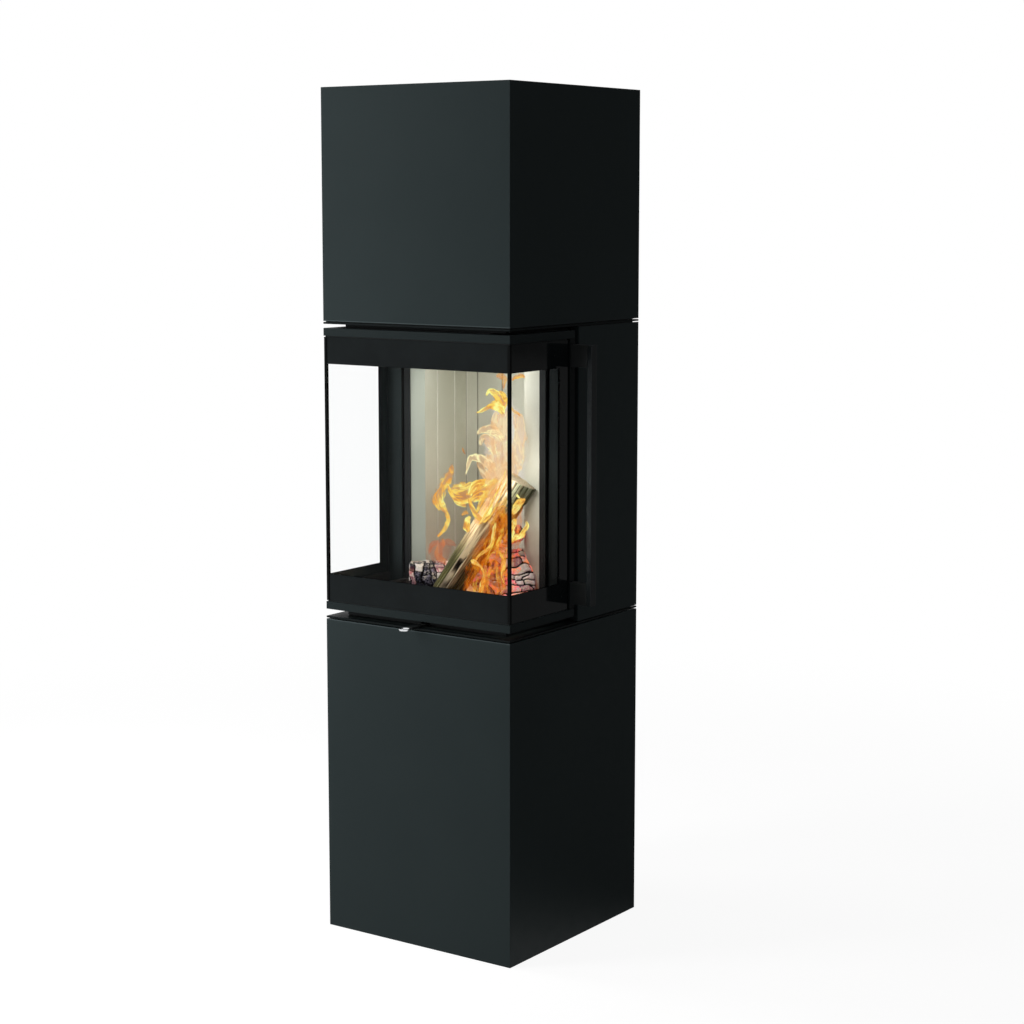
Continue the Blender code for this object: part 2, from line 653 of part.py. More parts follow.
def make_chamber():
    """The hearth, the steel carcass, its fireclay lining and the ceiling."""
    hearth_front = FRONT + FRAME_WIDTH + HEARTH_SIDE_MARGIN
    hearth_line = swing_outline(SEAL_FACE_SIDE, hearth_front, CARCASS_REAR, RAIL_SWING)
    hearth = prism("hearth_plate", "dark_steel", [hearth_line], HEARTH_LOW, HEARTH_TOP)
    soften(hearth)

    inner = CARCASS_INSIDE
    wall = inner + CARCASS_WALL
    lip = inner + CARCASS_LIP_WIDTH
    front = FRONT + CARCASS_FRONT
    lip_rear = front + CARCASS_LIP_THICKNESS
    face = FRONT + SEAL_FACE_DEPTH
    face_rear = face + CARCASS_WALL
    back = CARCASS_REAR
    right = [
        (inner, back - CARCASS_WALL), (inner, front), (lip, front), (lip, lip_rear), (wall, lip_rear),
        (wall, face), (SEAL_FACE_SIDE, face), (SEAL_FACE_SIDE, face_rear), (wall, face_rear), (wall, back),
    ]
    left = mirrored(right)
    left.reverse()
    prism("firebox_carcass", "dark_steel", [right + left], LINING_LOW, CEILING_LOW - SEAT_GAP)

    board_length = CHAMBER_BACK - SEAT_GAP - LINING_FRONT
    outer = CARCASS_INSIDE - SEAT_GAP
    side_face = grooved(board_length, SIDE_GROOVE_SHARES)
    side_line = [(LINING_INSIDE + depth, LINING_FRONT + along) for along, depth in side_face]
    side_line += [(outer, LINING_FRONT + board_length), (outer, LINING_FRONT)]
    prism("lining_right", "fireclay", [side_line], LINING_LOW, LINING_TOP)
    prism("lining_left", "fireclay", [mirrored(side_line)], LINING_LOW, LINING_TOP)
    back_line = [
        (along - outer, CHAMBER_BACK + depth) for along, depth in grooved(2 * outer, BACK_GROOVE_SHARES)
    ]
    back_line += [(outer, LINING_REAR), (-outer, LINING_REAR)]
    prism("lining_back", "fireclay", [back_line], LINING_LOW, LINING_TOP)

    floor_side = LINING_INSIDE - SEAT_GAP
    box(
        "chamber_floor", "fireclay", (-floor_side, LINING_FRONT, LINING_LOW),
        (floor_side, CHAMBER_BACK - SEAT_GAP, LINING_LOW + CHAMBER_FLOOR_THICKNESS),
    )
    tray_rear = FRONT + CARCASS_FRONT - SEAT_GAP
    tray_line = swing_outline(TRAY_SIDE, TRAY_NEAR, tray_rear, FLANGE_SWING)
    tray = prism("hearth_tray", "cast_iron", [tray_line], LINING_LOW, TRAY_FLOOR + TRAY_RIM_HEIGHT)
    pocket_line = swing_outline(
        TRAY_SIDE - TRAY_RIM_WIDTH, TRAY_NEAR + TRAY_RIM_WIDTH, tray_rear + OVERRUN,
        FLANGE_SWING - TRAY_RIM_WIDTH,
    )
    pocket = prism(
        "tray_pocket", None, [pocket_line], TRAY_FLOOR, TRAY_FLOOR + TRAY_RIM_HEIGHT + OVERRUN, "cutters"
    )
    cut(tray, pocket)

    baffle_side = CARCASS_INSIDE - BAFFLE_SIDE_GAP
    box(
        "baffle_board", "fireclay", (-baffle_side, FRONT + BAFFLE_FRONT, BAFFLE_LOW),
        (baffle_side, LINING_REAR, BAFFLE_TOP),
    )
    ceiling = prism("ceiling_plate", "dark_steel", [hearth_line], CEILING_LOW, CEILING_TOP)
    flue_hole(ceiling, CEILING_LOW, CEILING_TOP, FLUE_RADIUS + SEAT_GAP)
    neck_ring("upper_neck", CEILING_TOP + SEAT_GAP, UPPER_PLATE_LOW - SEAT_GAP)


def flue_hole(piece, low, high, radius):
    """The round hole through a plate that the flue pipe passes through."""
    name = piece.name + "_flue_hole"
    cutter = rod(name, None, radius, low - OVERRUN, high + OVERRUN, (0, FLUE_Y), ROUND_STEPS, "cutters")
    cut(piece, cutter)


def carrier(name, low, near):
    """The narrow strip inside a casing that holds it off its plate."""
    side = CASE_INSIDE - SEAT_GAP
    inner = side - CARRIER_WIDTH
    far = REAR_PANEL_INNER - SEAT_GAP
    if near is None:
        front = FRONT + SHEET + SEAT_GAP
        outlines = [rectangle(-side, side, front, far),
                    rectangle(-inner, inner, front + CARRIER_WIDTH, far - CARRIER_WIDTH)]
    else:
        outlines = [[
            (side, near), (side, far), (-side, far), (-side, near), (-inner, near),
            (-inner, far - CARRIER_WIDTH), (inner, far - CARRIER_WIDTH), (inner, near),
        ]]
    return prism(name, "dark_steel", outlines, low, low + CARRIER_HEIGHT)


def make_rear_and_upper_part():
    """The middle casing behind the door, the upper plate, the upper casing and the flue."""
    mid_low = LOWER_PLATE_TOP + UPPER_SHADOW_GAP
    mid_high = UPPER_PLATE_LOW - UPPER_SHADOW_GAP
    return_x = CASE_INSIDE - FRAME_WIDTH
    right = [
        (SIDE, MID_FRONT), (SIDE, REAR), (CASE_INSIDE, REAR), (CASE_INSIDE, MID_FRONT + SHEET),
        (return_x, MID_FRONT + SHEET), (return_x, MID_FRONT),
    ]
    for name, line in (("mid_panel_right", right), ("mid_panel_left", mirrored(right))):
        soften(prism(name, "coated_steel", [line], mid_low, mid_high))
    near = MID_FRONT + SHEET + SEAT_GAP
    carrier("mid_carrier_lower", LOWER_PLATE_TOP + SEAT_GAP, near)
    carrier("mid_carrier_upper", UPPER_PLATE_LOW - SEAT_GAP - CARRIER_HEIGHT, near)
    panel_side = CASE_INSIDE - SEAT_GAP
    upright_panel(
        "mid_rear_panel", "coated_steel", [rectangle(-panel_side, panel_side, mid_low, mid_high)],
        REAR_PANEL_INNER, REAR_PANEL_OUTER,
    )

    plate = box("upper_plate", "coated_steel", (-SIDE, FRONT, UPPER_PLATE_LOW), (SIDE, REAR, UPPER_PLATE_TOP))
    flue_hole(plate, UPPER_PLATE_LOW, UPPER_PLATE_TOP, FLUE_RADIUS + FLUE_PLAY)
    soften(plate)
    carrier("upper_carrier", UPPER_PLATE_TOP + SEAT_GAP, None)
    open_shell("upper_casing", UPPER_CASE_LOW, TOP, round_hole=FLUE_RADIUS + FLUE_PLAY)

    panel_top = TOP - SHEET - SEAT_GAP
    slots = []
    for index in range(VENT_COUNT):
        middle = panel_top - VENT_TOP_MARGIN - index * VENT_PITCH
        slots.append(rectangle(
            -VENT_LENGTH / 2, VENT_LENGTH / 2, middle - VENT_HEIGHT / 2, middle + VENT_HEIGHT / 2
        ))
    upright_panel(
        "upper_rear_panel", "coated_steel",
        [rectangle(-panel_side, panel_side, UPPER_CASE_LOW, panel_top)] + slots,
        REAR_PANEL_INNER, REAR_PANEL_OUTER,
    )
    bore = FLUE_RADIUS - FLUE_WALL
    collar = FLUE_RADIUS + COLLAR_WIDTH
    collar_low = TOP + SEAT_GAP
    collar_top = collar_low + COLLAR_THICKNESS
    high = TOP + FLUE_ABOVE_TOP
    profile = [
        (bore, high), (FLUE_RADIUS, high), (FLUE_RADIUS, collar_top), (collar, collar_top),
        (collar, collar_low), (FLUE_RADIUS, collar_low), (FLUE_RADIUS, CEILING_LOW), (bore, CEILING_LOW),
    ]
    pipe = turned("flue_pipe", "dark_steel", profile, (0, FLUE_Y, 0))
    shade_round(pipe)


def make_door():
    """The U-shaped door: frame, glass, seals and handle, hung on an empty on its hinge axis."""
    hinge = bpy.data.objects.new("door_hinge", None)
    hinge.location = (HINGE_X, HINGE_Y, DOOR_LOW)
    COLLECTIONS["part"].objects.link(hinge)
    pieces = make_door_frame() + make_door_glass() + make_handle()
    for piece in pieces:
        attach(piece, hinge)


def make_door_frame():
    """Rails round three sides, rear posts with their inner flanges, and the gasket strips."""
    rail_line = u_outline(SIDE, FRONT, DOOR_REAR, FRAME_WIDTH)
    pieces = []
    for name, low, high in (
        ("door_bottom_rail", DOOR_LOW, RAIL_INNER_LOW), ("door_top_rail", RAIL_INNER_TOP, DOOR_TOP),
    ):
        rail = prism(name, "coated_steel", [rail_line], low, high)
        hole = rod(
            name + "_pin_hole", None, PIN_HOLE_RADIUS, low - OVERRUN, high + OVERRUN, (HINGE_X, HINGE_Y),
            PIN_STEPS, "cutters",
        )
        cut(rail, hole)
        soften(rail)
        pieces.append(rail)
    bar = SIDE - FRAME_WIDTH
    seat = GLASS_INNER - SEAT_GAP
    flange = SIDE - FLANGE_WIDTH
    post_line = [
        (SIDE, POST_FRONT), (SIDE, DOOR_REAR), (bar, DOOR_REAR), (bar, FLANGE_REAR), (flange, FLANGE_REAR),
        (flange, FLANGE_FRONT), (seat, FLANGE_FRONT), (seat, FLANGE_REAR), (bar + POST_WEB, FLANGE_REAR),
        (bar + POST_WEB, POST_FRONT),
    ]
    low = RAIL_INNER_LOW + SEAT_GAP
    high = RAIL_INNER_TOP - SEAT_GAP
    for name, line in (("door_post_right", post_line), ("door_post_left", mirrored(post_line))):
        post = prism(name, "coated_steel", [line], low, high)
        soften(post)
        pieces.append(post)
    inner = flange + GASKET_INSET
    near = FLANGE_REAR + SEAT_GAP
    far = FRONT + SEAL_FACE_DEPTH - SEAT_GAP
    for name, side in (("door_gasket_right", 1), ("door_gasket_left", -1)):
        edges = sorted((side * inner, side * (inner + GASKET_WIDTH)))
        pieces.append(box(name, "gasket_rope", (edges[0], near, low), (edges[1], far, high)))
    return pieces + make_hinge_pins()


def make_hinge_pins():
    """Pins in the rails, the brackets on the plates that hold them, and the bush that carries the door."""
    place = (HINGE_X, HINGE_Y)
    pin = PIN_DIAMETER / 2
    bush_bore = pin + PIN_CLEARANCE
    bush = bush_bore + BUSH_WALL
    lower_low = LOWER_PLATE_TOP + SEAT_GAP
    lower_top = lower_low + BRACKET_THICKNESS
    upper_top = UPPER_PLATE_LOW - SEAT_GAP
    upper_low = upper_top - UPPER_BRACKET_THICKNESS
    left = -SIDE + BRACKET_EDGE_SETBACK
    right = -NECK_SIDE - SEAT_GAP
    near = HINGE_Y - BRACKET_HALF_DEPTH
    far = HINGE_Y + BRACKET_HALF_DEPTH
    for name, low, high, radius in (
        ("hinge_bracket_lower", lower_low, lower_top, bush + SEAT_GAP),
        ("hinge_bracket_upper", upper_low, upper_top, bush_bore),
    ):
        bracket = box(name, "dark_steel", (left, near, low), (right, far, high))
        hole = rod(name + "_hole", None, radius, low - OVERRUN, high + OVERRUN, place, PIN_STEPS, "cutters")
        cut(bracket, hole)
    flange = bush + BUSH_FLANGE_WIDTH
    flange_top = DOOR_LOW - SEAT_GAP
    flange_low = lower_top + SEAT_GAP
    profile = [
        (bush_bore, flange_top), (flange, flange_top), (flange, flange_low), (bush, flange_low),
        (bush, lower_low), (bush_bore, lower_low),
    ]
    turned("hinge_bush", "bronze", profile, (*place, 0), PIN_STEPS)
    pin_top = RAIL_INNER_LOW - PIN_END_MARGIN
    pin_low = RAIL_INNER_TOP + PIN_END_MARGIN
    return [
        rod("hinge_pin_lower", "plain_steel", pin, lower_low, pin_top, place, PIN_STEPS),
        rod("hinge_pin_upper", "plain_steel", pin, pin_low, upper_top, place, PIN_STEPS),
    ]


def make_door_glass():
    """Three panes, the seals at the two corners, and the retainers along the rails."""
    end = GLASS_INNER - SEAT_GAP
    pane_front = FRONT + GLASS_RECESS
    pane_rear = pane_front + GLASS_THICKNESS
    side_front = pane_rear + SEAT_GAP
    pieces = [box("glass_front", "glass", (-end, pane_front, GLASS_LOW), (end, pane_rear, GLASS_TOP))]
    for name, near, far in (
        ("glass_right", GLASS_INNER, GLASS_OUTER), ("glass_left", -GLASS_OUTER, -GLASS_INNER),
    ):
        pieces.append(box(name, "glass", (near, side_front, GLASS_LOW), (far, GLASS_REAR, GLASS_TOP)))
    outer = SIDE - SEAL_RECESS
    for name, side in (("corner_seal_right", 1), ("corner_seal_left", -1)):
        edges = sorted((side * GLASS_INNER, side * outer))
        low = (edges[0], FRONT + SEAL_RECESS, GLASS_LOW)
        pieces.append(box(name, "seal_black", low, (edges[1], pane_rear, GLASS_TOP)))
    stop = FLANGE_FRONT - SEAT_GAP
    leg_line = u_outline(end, side_front, stop, RETAINER_THICKNESS)
    lip_side = GLASS_OUTER - RETAINER_LIP_SETBACK
    lip_front = pane_front + RETAINER_LIP_SETBACK
    lip_line = u_outline(lip_side, lip_front, stop, lip_side - end + RETAINER_THICKNESS)
    for name, edge, up in (
        ("glass_retainer_bottom", RAIL_INNER_LOW + SEAT_GAP, 1),
        ("glass_retainer_top", RAIL_INNER_TOP - SEAT_GAP, -1),
    ):
        lip_levels = sorted((edge, edge + up * RETAINER_THICKNESS))
        leg_levels = sorted((edge + up * RETAINER_THICKNESS / 2, edge + up * RETAINER_HEIGHT))
        retainer = prism(name, "dark_steel", [lip_line], *lip_levels)
        leg = prism(name + "_leg", None, [leg_line], *leg_levels, "cutters")
        cut(retainer, leg, "UNION")
        pieces.append(retainer)
    return pieces


def make_handle():
    """A bow handle on the right post: two stand-off arms and the grip bar."""
    near = HINGE_Y - HANDLE_ARM_DEPTH / 2
    far = HINGE_Y + HANDLE_ARM_DEPTH / 2
    arm_low = SIDE + SEAT_GAP
    grip_low = SIDE + HANDLE_REACH - GRIP_THICKNESS
    grip_near = HINGE_Y - GRIP_DEPTH / 2
    pieces = []
    for name, low in (
        ("handle_arm_bottom", HANDLE_LOW), ("handle_arm_top", HANDLE_TOP - HANDLE_ARM_HEIGHT),
    ):
        arm = box(
            name, "dark_steel", (arm_low, near, low), (grip_low - SEAT_GAP, far, low + HANDLE_ARM_HEIGHT)
        )
        soften(arm)
        pieces.append(arm)
    grip = box(
        "handle_grip", "satin_steel", (grip_low, grip_near, HANDLE_LOW),
        (SIDE + HANDLE_REACH, grip_near + GRIP_DEPTH, HANDLE_TOP),
    )
    soften(grip, HANDLE_ROUND)
    return pieces + [grip]


def fire_bed_point(across, depth, height):
    """A point over the fire bed, given in shares."""
    y = TRAY_NEAR + (CHAMBER_BACK - TRAY_NEAR) * depth
    return Vector((LINING_INSIDE * across, y, TRAY_FLOOR + LINING_INSIDE * height))


def make_log(name, finish, axis, shares, on_tray, phase):
    """A billet lofted along its axis from one section of shares, each ring swelling a little."""
    first = fire_bed_point(*axis[0])
    last = fire_bed_point(*axis[1])
    radius = LINING_INSIDE * axis[2]
    turn = (last - first).to_track_quat("Z", "Y").to_matrix()
    shape = bmesh.new()
    rings = []
    for i in range(LOG_RINGS):
        along = i / (LOG_RINGS - 1)
        centre = first.lerp(last, along)
        ring = []
        for j, share in enumerate(shares):
            angle = 2 * math.pi * j / LOG_POINTS
            ripple = math.sin(3 * angle + 5 * along + phase) + math.sin(7 * along + 2 * angle + 2 * phase)
            size = radius * (1 - axis[3] * along) * (share + LOG_ROUGHNESS_SHARE * ripple / 2)
            point = Vector((size * math.cos(angle), size * math.sin(angle), 0))
            ring.append(shape.verts.new(centre + turn @ point))
        rings.append(ring)
    for low, high in zip(rings, rings[1:]):
        for j in range(LOG_POINTS):
            k = (j + 1) % LOG_POINTS
            shape.faces.new((low[j], low[k], high[k], high[j]))
    shape.faces.new(list(reversed(rings[0])))
    shape.faces.new(rings[-1])
    if on_tray:
        drop = min(vert.co.z for vert in shape.verts) - TRAY_FLOOR - SEAT_GAP
        bmesh.ops.translate(shape, verts=shape.verts, vec=(0, 0, -drop))
    mesh = bpy.data.meshes.new(name)
    shape.to_mesh(mesh)
    shape.free()
    log = add_mesh_object(name, mesh, finish)
    shade_round(log)
    return log


def make_fire_bed():
    """The logs and the low bed of embers between them."""
    logs = (
        ("log_leaning", "split_wood", LEANING_LOG_SHARES, SPLIT_SHARES, True),
        ("log_left", "charred_wood", LEFT_LOG_SHARES, ROUND_SHARES, True),
        ("log_middle", "charred_wood", MIDDLE_LOG_SHARES, ROUND_SHARES, True),
        ("log_right", "charred_wood", RIGHT_LOG_SHARES, ROUND_SHARES, True),
        ("log_cross", "charred_wood", CROSS_LOG_SHARES, ROUND_SHARES, False),
    )
    for log, turn_share in zip(logs, LOG_TURN_SHARES):
        make_log(*log, 2 * math.pi * turn_share)
    make_ember_bed()


def make_ember_bed():
    """A low irregular heap on the tray, flat below."""
    shape = bmesh.new()
    low = TRAY_FLOOR + SEAT_GAP
    centre = fire_bed_point(*EMBER_PLACE_SHARES)
    half_width = LINING_INSIDE * EMBER_HALF_WIDTH_SHARE
    half_depth = LINING_INSIDE * EMBER_HALF_DEPTH_SHARE
    height = LINING_INSIDE * EMBER_HEIGHT_SHARE
    rings = []
    for i in range(EMBER_RINGS):
        out = 1 - i / EMBER_RINGS
        ring = []
        for j in range(LOG_POINTS):
            angle = 2 * math.pi * j / LOG_POINTS
            wave = 1 + LOG_ROUGHNESS_SHARE * math.sin(3 * angle + 2 * i)
            rise = height * (1 - out * out) * (1 + LOG_ROUGHNESS_SHARE * math.sin(5 * angle + 4 * i))
            ring.append(shape.verts.new((
                centre.x + half_width * out * wave * math.cos(angle),
                centre.y + half_depth * out * wave * math.sin(angle), low + rise,
            )))
        rings.append(ring)
    for outer, inner in zip(rings, rings[1:]):
        for j in range(LOG_POINTS):
            k = (j + 1) % LOG_POINTS
            shape.faces.new((outer[j], outer[k], inner[k], inner[j]))
    shape.faces.new(rings[-1])
    shape.faces.new(list(reversed(rings[0])))
    mesh = bpy.data.meshes.new("ember_bed")
    shape.to_mesh(mesh)
    shape.free()
    add_mesh_object("ember_bed", mesh, "embers")


def make_part():
    """All the pieces, from the floor up."""
    make_lower_part()
    make_air_control()
    make_chamber()
    make_rear_and_upper_part()
    make_door()
    make_fire_bed()


make_part()
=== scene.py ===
"""Looks of the three-sided fireplace: its finishes, the fire, the floor, the light and the camera."""
import math

import bpy
import numpy as np
from mathutils import Matrix, Vector, noise


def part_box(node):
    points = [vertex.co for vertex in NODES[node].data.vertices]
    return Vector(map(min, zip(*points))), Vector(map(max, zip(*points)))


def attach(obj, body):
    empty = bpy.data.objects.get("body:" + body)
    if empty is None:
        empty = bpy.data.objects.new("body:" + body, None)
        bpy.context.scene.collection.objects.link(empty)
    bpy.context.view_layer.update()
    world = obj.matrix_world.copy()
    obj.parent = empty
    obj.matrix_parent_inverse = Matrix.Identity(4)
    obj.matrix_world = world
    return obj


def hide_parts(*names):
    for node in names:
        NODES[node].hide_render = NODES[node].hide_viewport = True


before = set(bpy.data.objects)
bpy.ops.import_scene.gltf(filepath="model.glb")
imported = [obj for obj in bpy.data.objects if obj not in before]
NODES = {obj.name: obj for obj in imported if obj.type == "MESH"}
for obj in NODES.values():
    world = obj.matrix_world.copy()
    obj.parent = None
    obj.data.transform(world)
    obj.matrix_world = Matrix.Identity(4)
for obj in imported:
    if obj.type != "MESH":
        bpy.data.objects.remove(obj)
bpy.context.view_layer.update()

MM = 0.001
FIXED_BODY = "stove_body"


# The camera of the photograph. Its shift stays so small that no other view is cut.

CAMERA_PLACE = (2.290, -3.160, 1.3118)
CAMERA_YAW = 35.165
CAMERA_PITCH = -7.51
CAMERA_LENS = 76.56
CAMERA_SHIFT_Y = -0.022
SENSOR = 36
CAMERA_TURN = (
    Matrix.Rotation(math.radians(CAMERA_YAW), 3, "Z")
    @ Matrix.Rotation(math.radians(90 + CAMERA_PITCH), 3, "X")
)


# The bands printed on the panes: up to this height, from this height, and behind this place on the side panes.

PRINT_BOTTOM = 0.6513
PRINT_TOP = 1.0285
PRINT_REAR = -0.0504
FRONT_GLOSS = 0.08
SIDE_GLOSS = 0.17


# The faces of the chamber's boards and the left board's front end, which takes painted shade. A groove has a flank
# of painted shade and one of painted highlight: how far each lies from the groove's middle, its reach, its tone and
# its share.

LINING_BACK_FACE = 0.0985
LINING_SIDE_FACE = 0.1098
LINING_FRONT = -0.0275
BACK_GROOVES = (-0.1095, -0.0840, -0.0281, 0.0281, 0.0840, 0.1095)
SIDE_GROOVES = (0.0100, 0.0625)
GROOVE_SHADE_AND_HIGHLIGHT = ((-0.0009, 0.0014, (0.12, 0.115, 0.09), 0.75), (0.0010, 0.0015, (0.86, 0.87, 0.80), 0.7))


# The powder coat's darker and lighter tone, its bright specks, and the tone of a painted highlight: the light that
# the casings' front edges catch.
# The door's coat and that of the thin plates are darker copies of the same coat: painted shade.

COAT_TONES = (
    (0.0310, 0.0425, 0.0440), (0.0345, 0.0470, 0.0485), (0.0800, 0.1000, 0.1020), (0.0900, 0.1150, 0.1190),
)
EDGE_HIGHLIGHT_HEIGHTS = (0.5692, 1.1050)
EDGE_HIGHLIGHT_REACH = 0.0013
FRONT_FACE = -0.2014
DOOR_PAINTED_SHADE = 0.62
PLATE_PAINTED_SHADE = 0.25
EMBER_GLOW = 0.8


# The side of the studio that a dark screen keeps in shade: its direction, its share of white in a mirror, and where
# its soft edge lies in the sky and on the floor. AMBIENT is the soft light from all round.

DARK_SIDE = (0.62, 0.78, 0.05)
DARK_MIRRORED = 0.10
SKY_EDGE = (0.42, 0.86)
FLOOR_EDGE = (0.0, 0.4)
AMBIENT = 0.16


class Graph:
    """The nodes of one material, or of the world, with a short method for each kind in use."""

    def __init__(self, name, world=False):
        self.owner = bpy.data.worlds.new(name) if world else bpy.data.materials.new(name)
        self.owner.use_nodes = True
        self.tree = self.owner.node_tree
        self.tree.nodes.clear()
        self.place = self.add("ShaderNodeTexCoord").outputs["Generated" if world else "Object"]

    def add(self, kind, **settings):
        node = self.tree.nodes.new(kind)
        for key, value in settings.items():
            setattr(node, key, value)
        return node

    def feed(self, socket, value):
        if isinstance(value, bpy.types.NodeSocket):
            self.tree.links.new(value, socket)
        elif socket.type == "RGBA":
            socket.default_value = (*value, 1)
        else:
            socket.default_value = value

    def stretched(self, factors, place=None):
        """The place with each axis scaled, so that a pattern runs along one of them."""
        node = self.add("ShaderNodeVectorMath", operation="MULTIPLY")
        self.feed(node.inputs[0], place or self.place)
        node.inputs[1].default_value = factors
        return node.outputs["Vector"]

    def noise(self, scale, detail=3, rough=0.55, place=None, twist=0):
        node = self.add("ShaderNodeTexNoise")
        self.feed(node.inputs["Vector"], place or self.place)
        node.inputs["Scale"].default_value = scale
        node.inputs["Detail"].default_value = detail
        node.inputs["Roughness"].default_value = rough
        node.inputs["Distortion"].default_value = twist
        return node.outputs["Fac"]

    def cells(self, scale, feature="F1", output="Distance"):
        node = self.add("ShaderNodeTexVoronoi", feature=feature)
        self.feed(node.inputs["Vector"], self.place)
        node.inputs["Scale"].default_value = scale
        return node.outputs[output]

    def spread(self, value, low, high, to_low=0.0, to_high=1.0):
        """The value mapped smoothly from one range to another, and held at the ends."""
        node = self.add("ShaderNodeMapRange", interpolation_type="SMOOTHSTEP")
        self.feed(node.inputs["Value"], value)
        node.inputs["From Min"].default_value = low
        node.inputs["From Max"].default_value = high
        node.inputs["To Min"].default_value = to_low
        node.inputs["To Max"].default_value = to_high
        return node.outputs["Result"]

    def math(self, operation, first, second=0.0, clamp=False):
        node = self.add("ShaderNodeMath", operation=operation, use_clamp=clamp)
        self.feed(node.inputs[0], first)
        self.feed(node.inputs[1], second)
        return node.outputs[0]

    def mix(self, share, first, second):
        node = self.add("ShaderNodeMix", data_type="RGBA")
        self.feed(node.inputs["Factor"], share)
        self.feed(node.inputs[6], first)
        self.feed(node.inputs[7], second)
        return node.outputs[2]

    def axis(self, letter, place=None):
        node = self.add("ShaderNodeSeparateXYZ")
        self.feed(node.inputs[0], place or self.place)
        return node.outputs[letter]

    def attribute(self, name):
        return self.add("ShaderNodeAttribute", attribute_name=name).outputs["Fac"]

    def bump(self, height, depth, strength=1.0):
        node = self.add("ShaderNodeBump")
        self.feed(node.inputs["Height"], height)
        node.inputs["Distance"].default_value = depth
        node.inputs["Strength"].default_value = strength
        return node.outputs["Normal"]

    def principled(self, **values):
        node = self.add("ShaderNodeBsdfPrincipled")
        for key, value in values.items():
            self.feed(node.inputs[key.replace("_", " ")], value)
        return node.outputs["BSDF"]

    def blend(self, share, first, second):
        node = self.add("ShaderNodeMixShader")
        self.feed(node.inputs[0], share)
        self.tree.links.new(first, node.inputs[1])
        self.tree.links.new(second, node.inputs[2])
        return node.outputs[0]

    def clear(self, colour):
        node = self.add("ShaderNodeBsdfTransparent")
        self.feed(node.inputs["Color"], colour)
        return node.outputs[0]

    def rays(self):
        """1 for what the eye sees directly or through glass, and 1 for what it sees in mirrors."""
        paths = self.add("ShaderNodeLightPath").outputs
        straight = self.math("MAXIMUM", paths["Is Camera Ray"], paths["Is Transmission Ray"])
        return straight, paths["Is Glossy Ray"]

    def near(self, value, place, reach):
        """1 where the value is at the place, falling to 0 within the reach."""
        return self.spread(self.math("ABSOLUTE", self.math("SUBTRACT", value, place)), 0, reach, 1, 0)

    def towards(self, direction):
        """How far the place lies in a direction."""
        node = self.add("ShaderNodeVectorMath", operation="DOT_PRODUCT")
        self.feed(node.inputs[0], self.place)
        node.inputs[1].default_value = direction
        return node.outputs["Value"]

    def background(self, strength):
        node = self.add("ShaderNodeBackground")
        self.feed(node.inputs["Color"], (1, 1, 1))
        self.feed(node.inputs["Strength"], strength)
        return node.outputs[0]

    def glow(self, colour, strength):
        node = self.add("ShaderNodeEmission")
        self.feed(node.inputs["Color"], colour)
        self.feed(node.inputs["Strength"], strength)
        return node.outputs[0]

    def finish(self, shader):
        world = isinstance(self.owner, bpy.types.World)
        output = self.add("ShaderNodeOutputWorld" if world else "ShaderNodeOutputMaterial")
        self.tree.links.new(shader, output.inputs["Surface"])
        return self.owner


def coated_steel(name, shade):
    """Anthracite powder coat: a fine orange-peel grain, a faint unevenness, and a painted highlight along the
    casings' front edges.
    """
    g = Graph(name)
    # A shade below 1 gives a darker copy of the coat: painted shade.
    tones = [tuple(shade * part for part in tone) for tone in COAT_TONES]
    cloud = g.noise(3.2, 2)
    grain = g.noise(950, 2, 0.6)
    colour = g.mix(g.spread(cloud, 0.3, 0.7), tones[0], tones[1])
    speck = g.spread(g.cells(620), 0.05, 0.3, 1, 0)
    colour = g.mix(g.math("MULTIPLY", speck, 0.12), colour, tones[2])
    # Painted highlight: a lighter line on the front faces, where the casings' front edges catch the light.
    edge = g.math("MAXIMUM", *(g.near(g.axis("Z"), height, EDGE_HIGHLIGHT_REACH) for height in EDGE_HIGHLIGHT_HEIGHTS))
    edge = g.math("MULTIPLY", edge, g.math("LESS_THAN", g.axis("Y"), FRONT_FACE))
    colour = g.mix(edge, colour, tones[3])
    rough = g.spread(g.noise(40, 3), 0.3, 0.7, 0.40, 0.48)
    return g.finish(g.principled(
        Base_Color=colour, Roughness=rough, Specular_IOR_Level=0.06, Normal=g.bump(grain, 0.00012, 0.5),
    ))


def dark_steel():
    """Matt black heat-proof paint on the inner steel, a little dusty."""
    g = Graph("dark_steel_finish")
    cloud = g.noise(14, 4)
    colour = g.mix(g.spread(cloud, 0.35, 0.75), (0.0095, 0.0110, 0.0112), (0.0150, 0.0175, 0.0178))
    grain = g.noise(1400, 2)
    rough = g.spread(cloud, 0.3, 0.7, 0.52, 0.64)
    return g.finish(g.principled(
        Base_Color=colour, Roughness=rough, Specular_IOR_Level=0.2, Normal=g.bump(grain, 0.0001, 0.5),
    ))


def cast_iron():
    """The sand-cast skin of the tray, with ash in its hollows."""
    g = Graph("cast_iron_finish")
    sand = g.noise(900, 4, 0.65)
    ash = g.spread(g.noise(35, 5), 0.52, 0.75)
    colour = g.mix(g.math("MULTIPLY", ash, 0.5), (0.016, 0.016, 0.017), (0.12, 0.115, 0.11))
    return g.finish(g.principled(
        Base_Color=colour, Roughness=g.spread(sand, 0.2, 0.8, 0.6, 0.8), Specular_IOR_Level=0.2,
        Normal=g.bump(sand, 0.0004),
    ))


def plain_steel():
    """Galvanized sheet with soft spangles."""
    g = Graph("plain_steel_finish")
    spangle = g.cells(160, output="Color")
    value = g.axis("X", spangle)
    colour = g.mix(value, (0.30, 0.31, 0.32), (0.42, 0.43, 0.44))
    return g.finish(g.principled(
        Base_Color=colour, Metallic=1.0, Roughness=g.spread(value, 0, 1, 0.32, 0.46),
        Normal=g.bump(g.noise(700, 2), 0.00006),
    ))


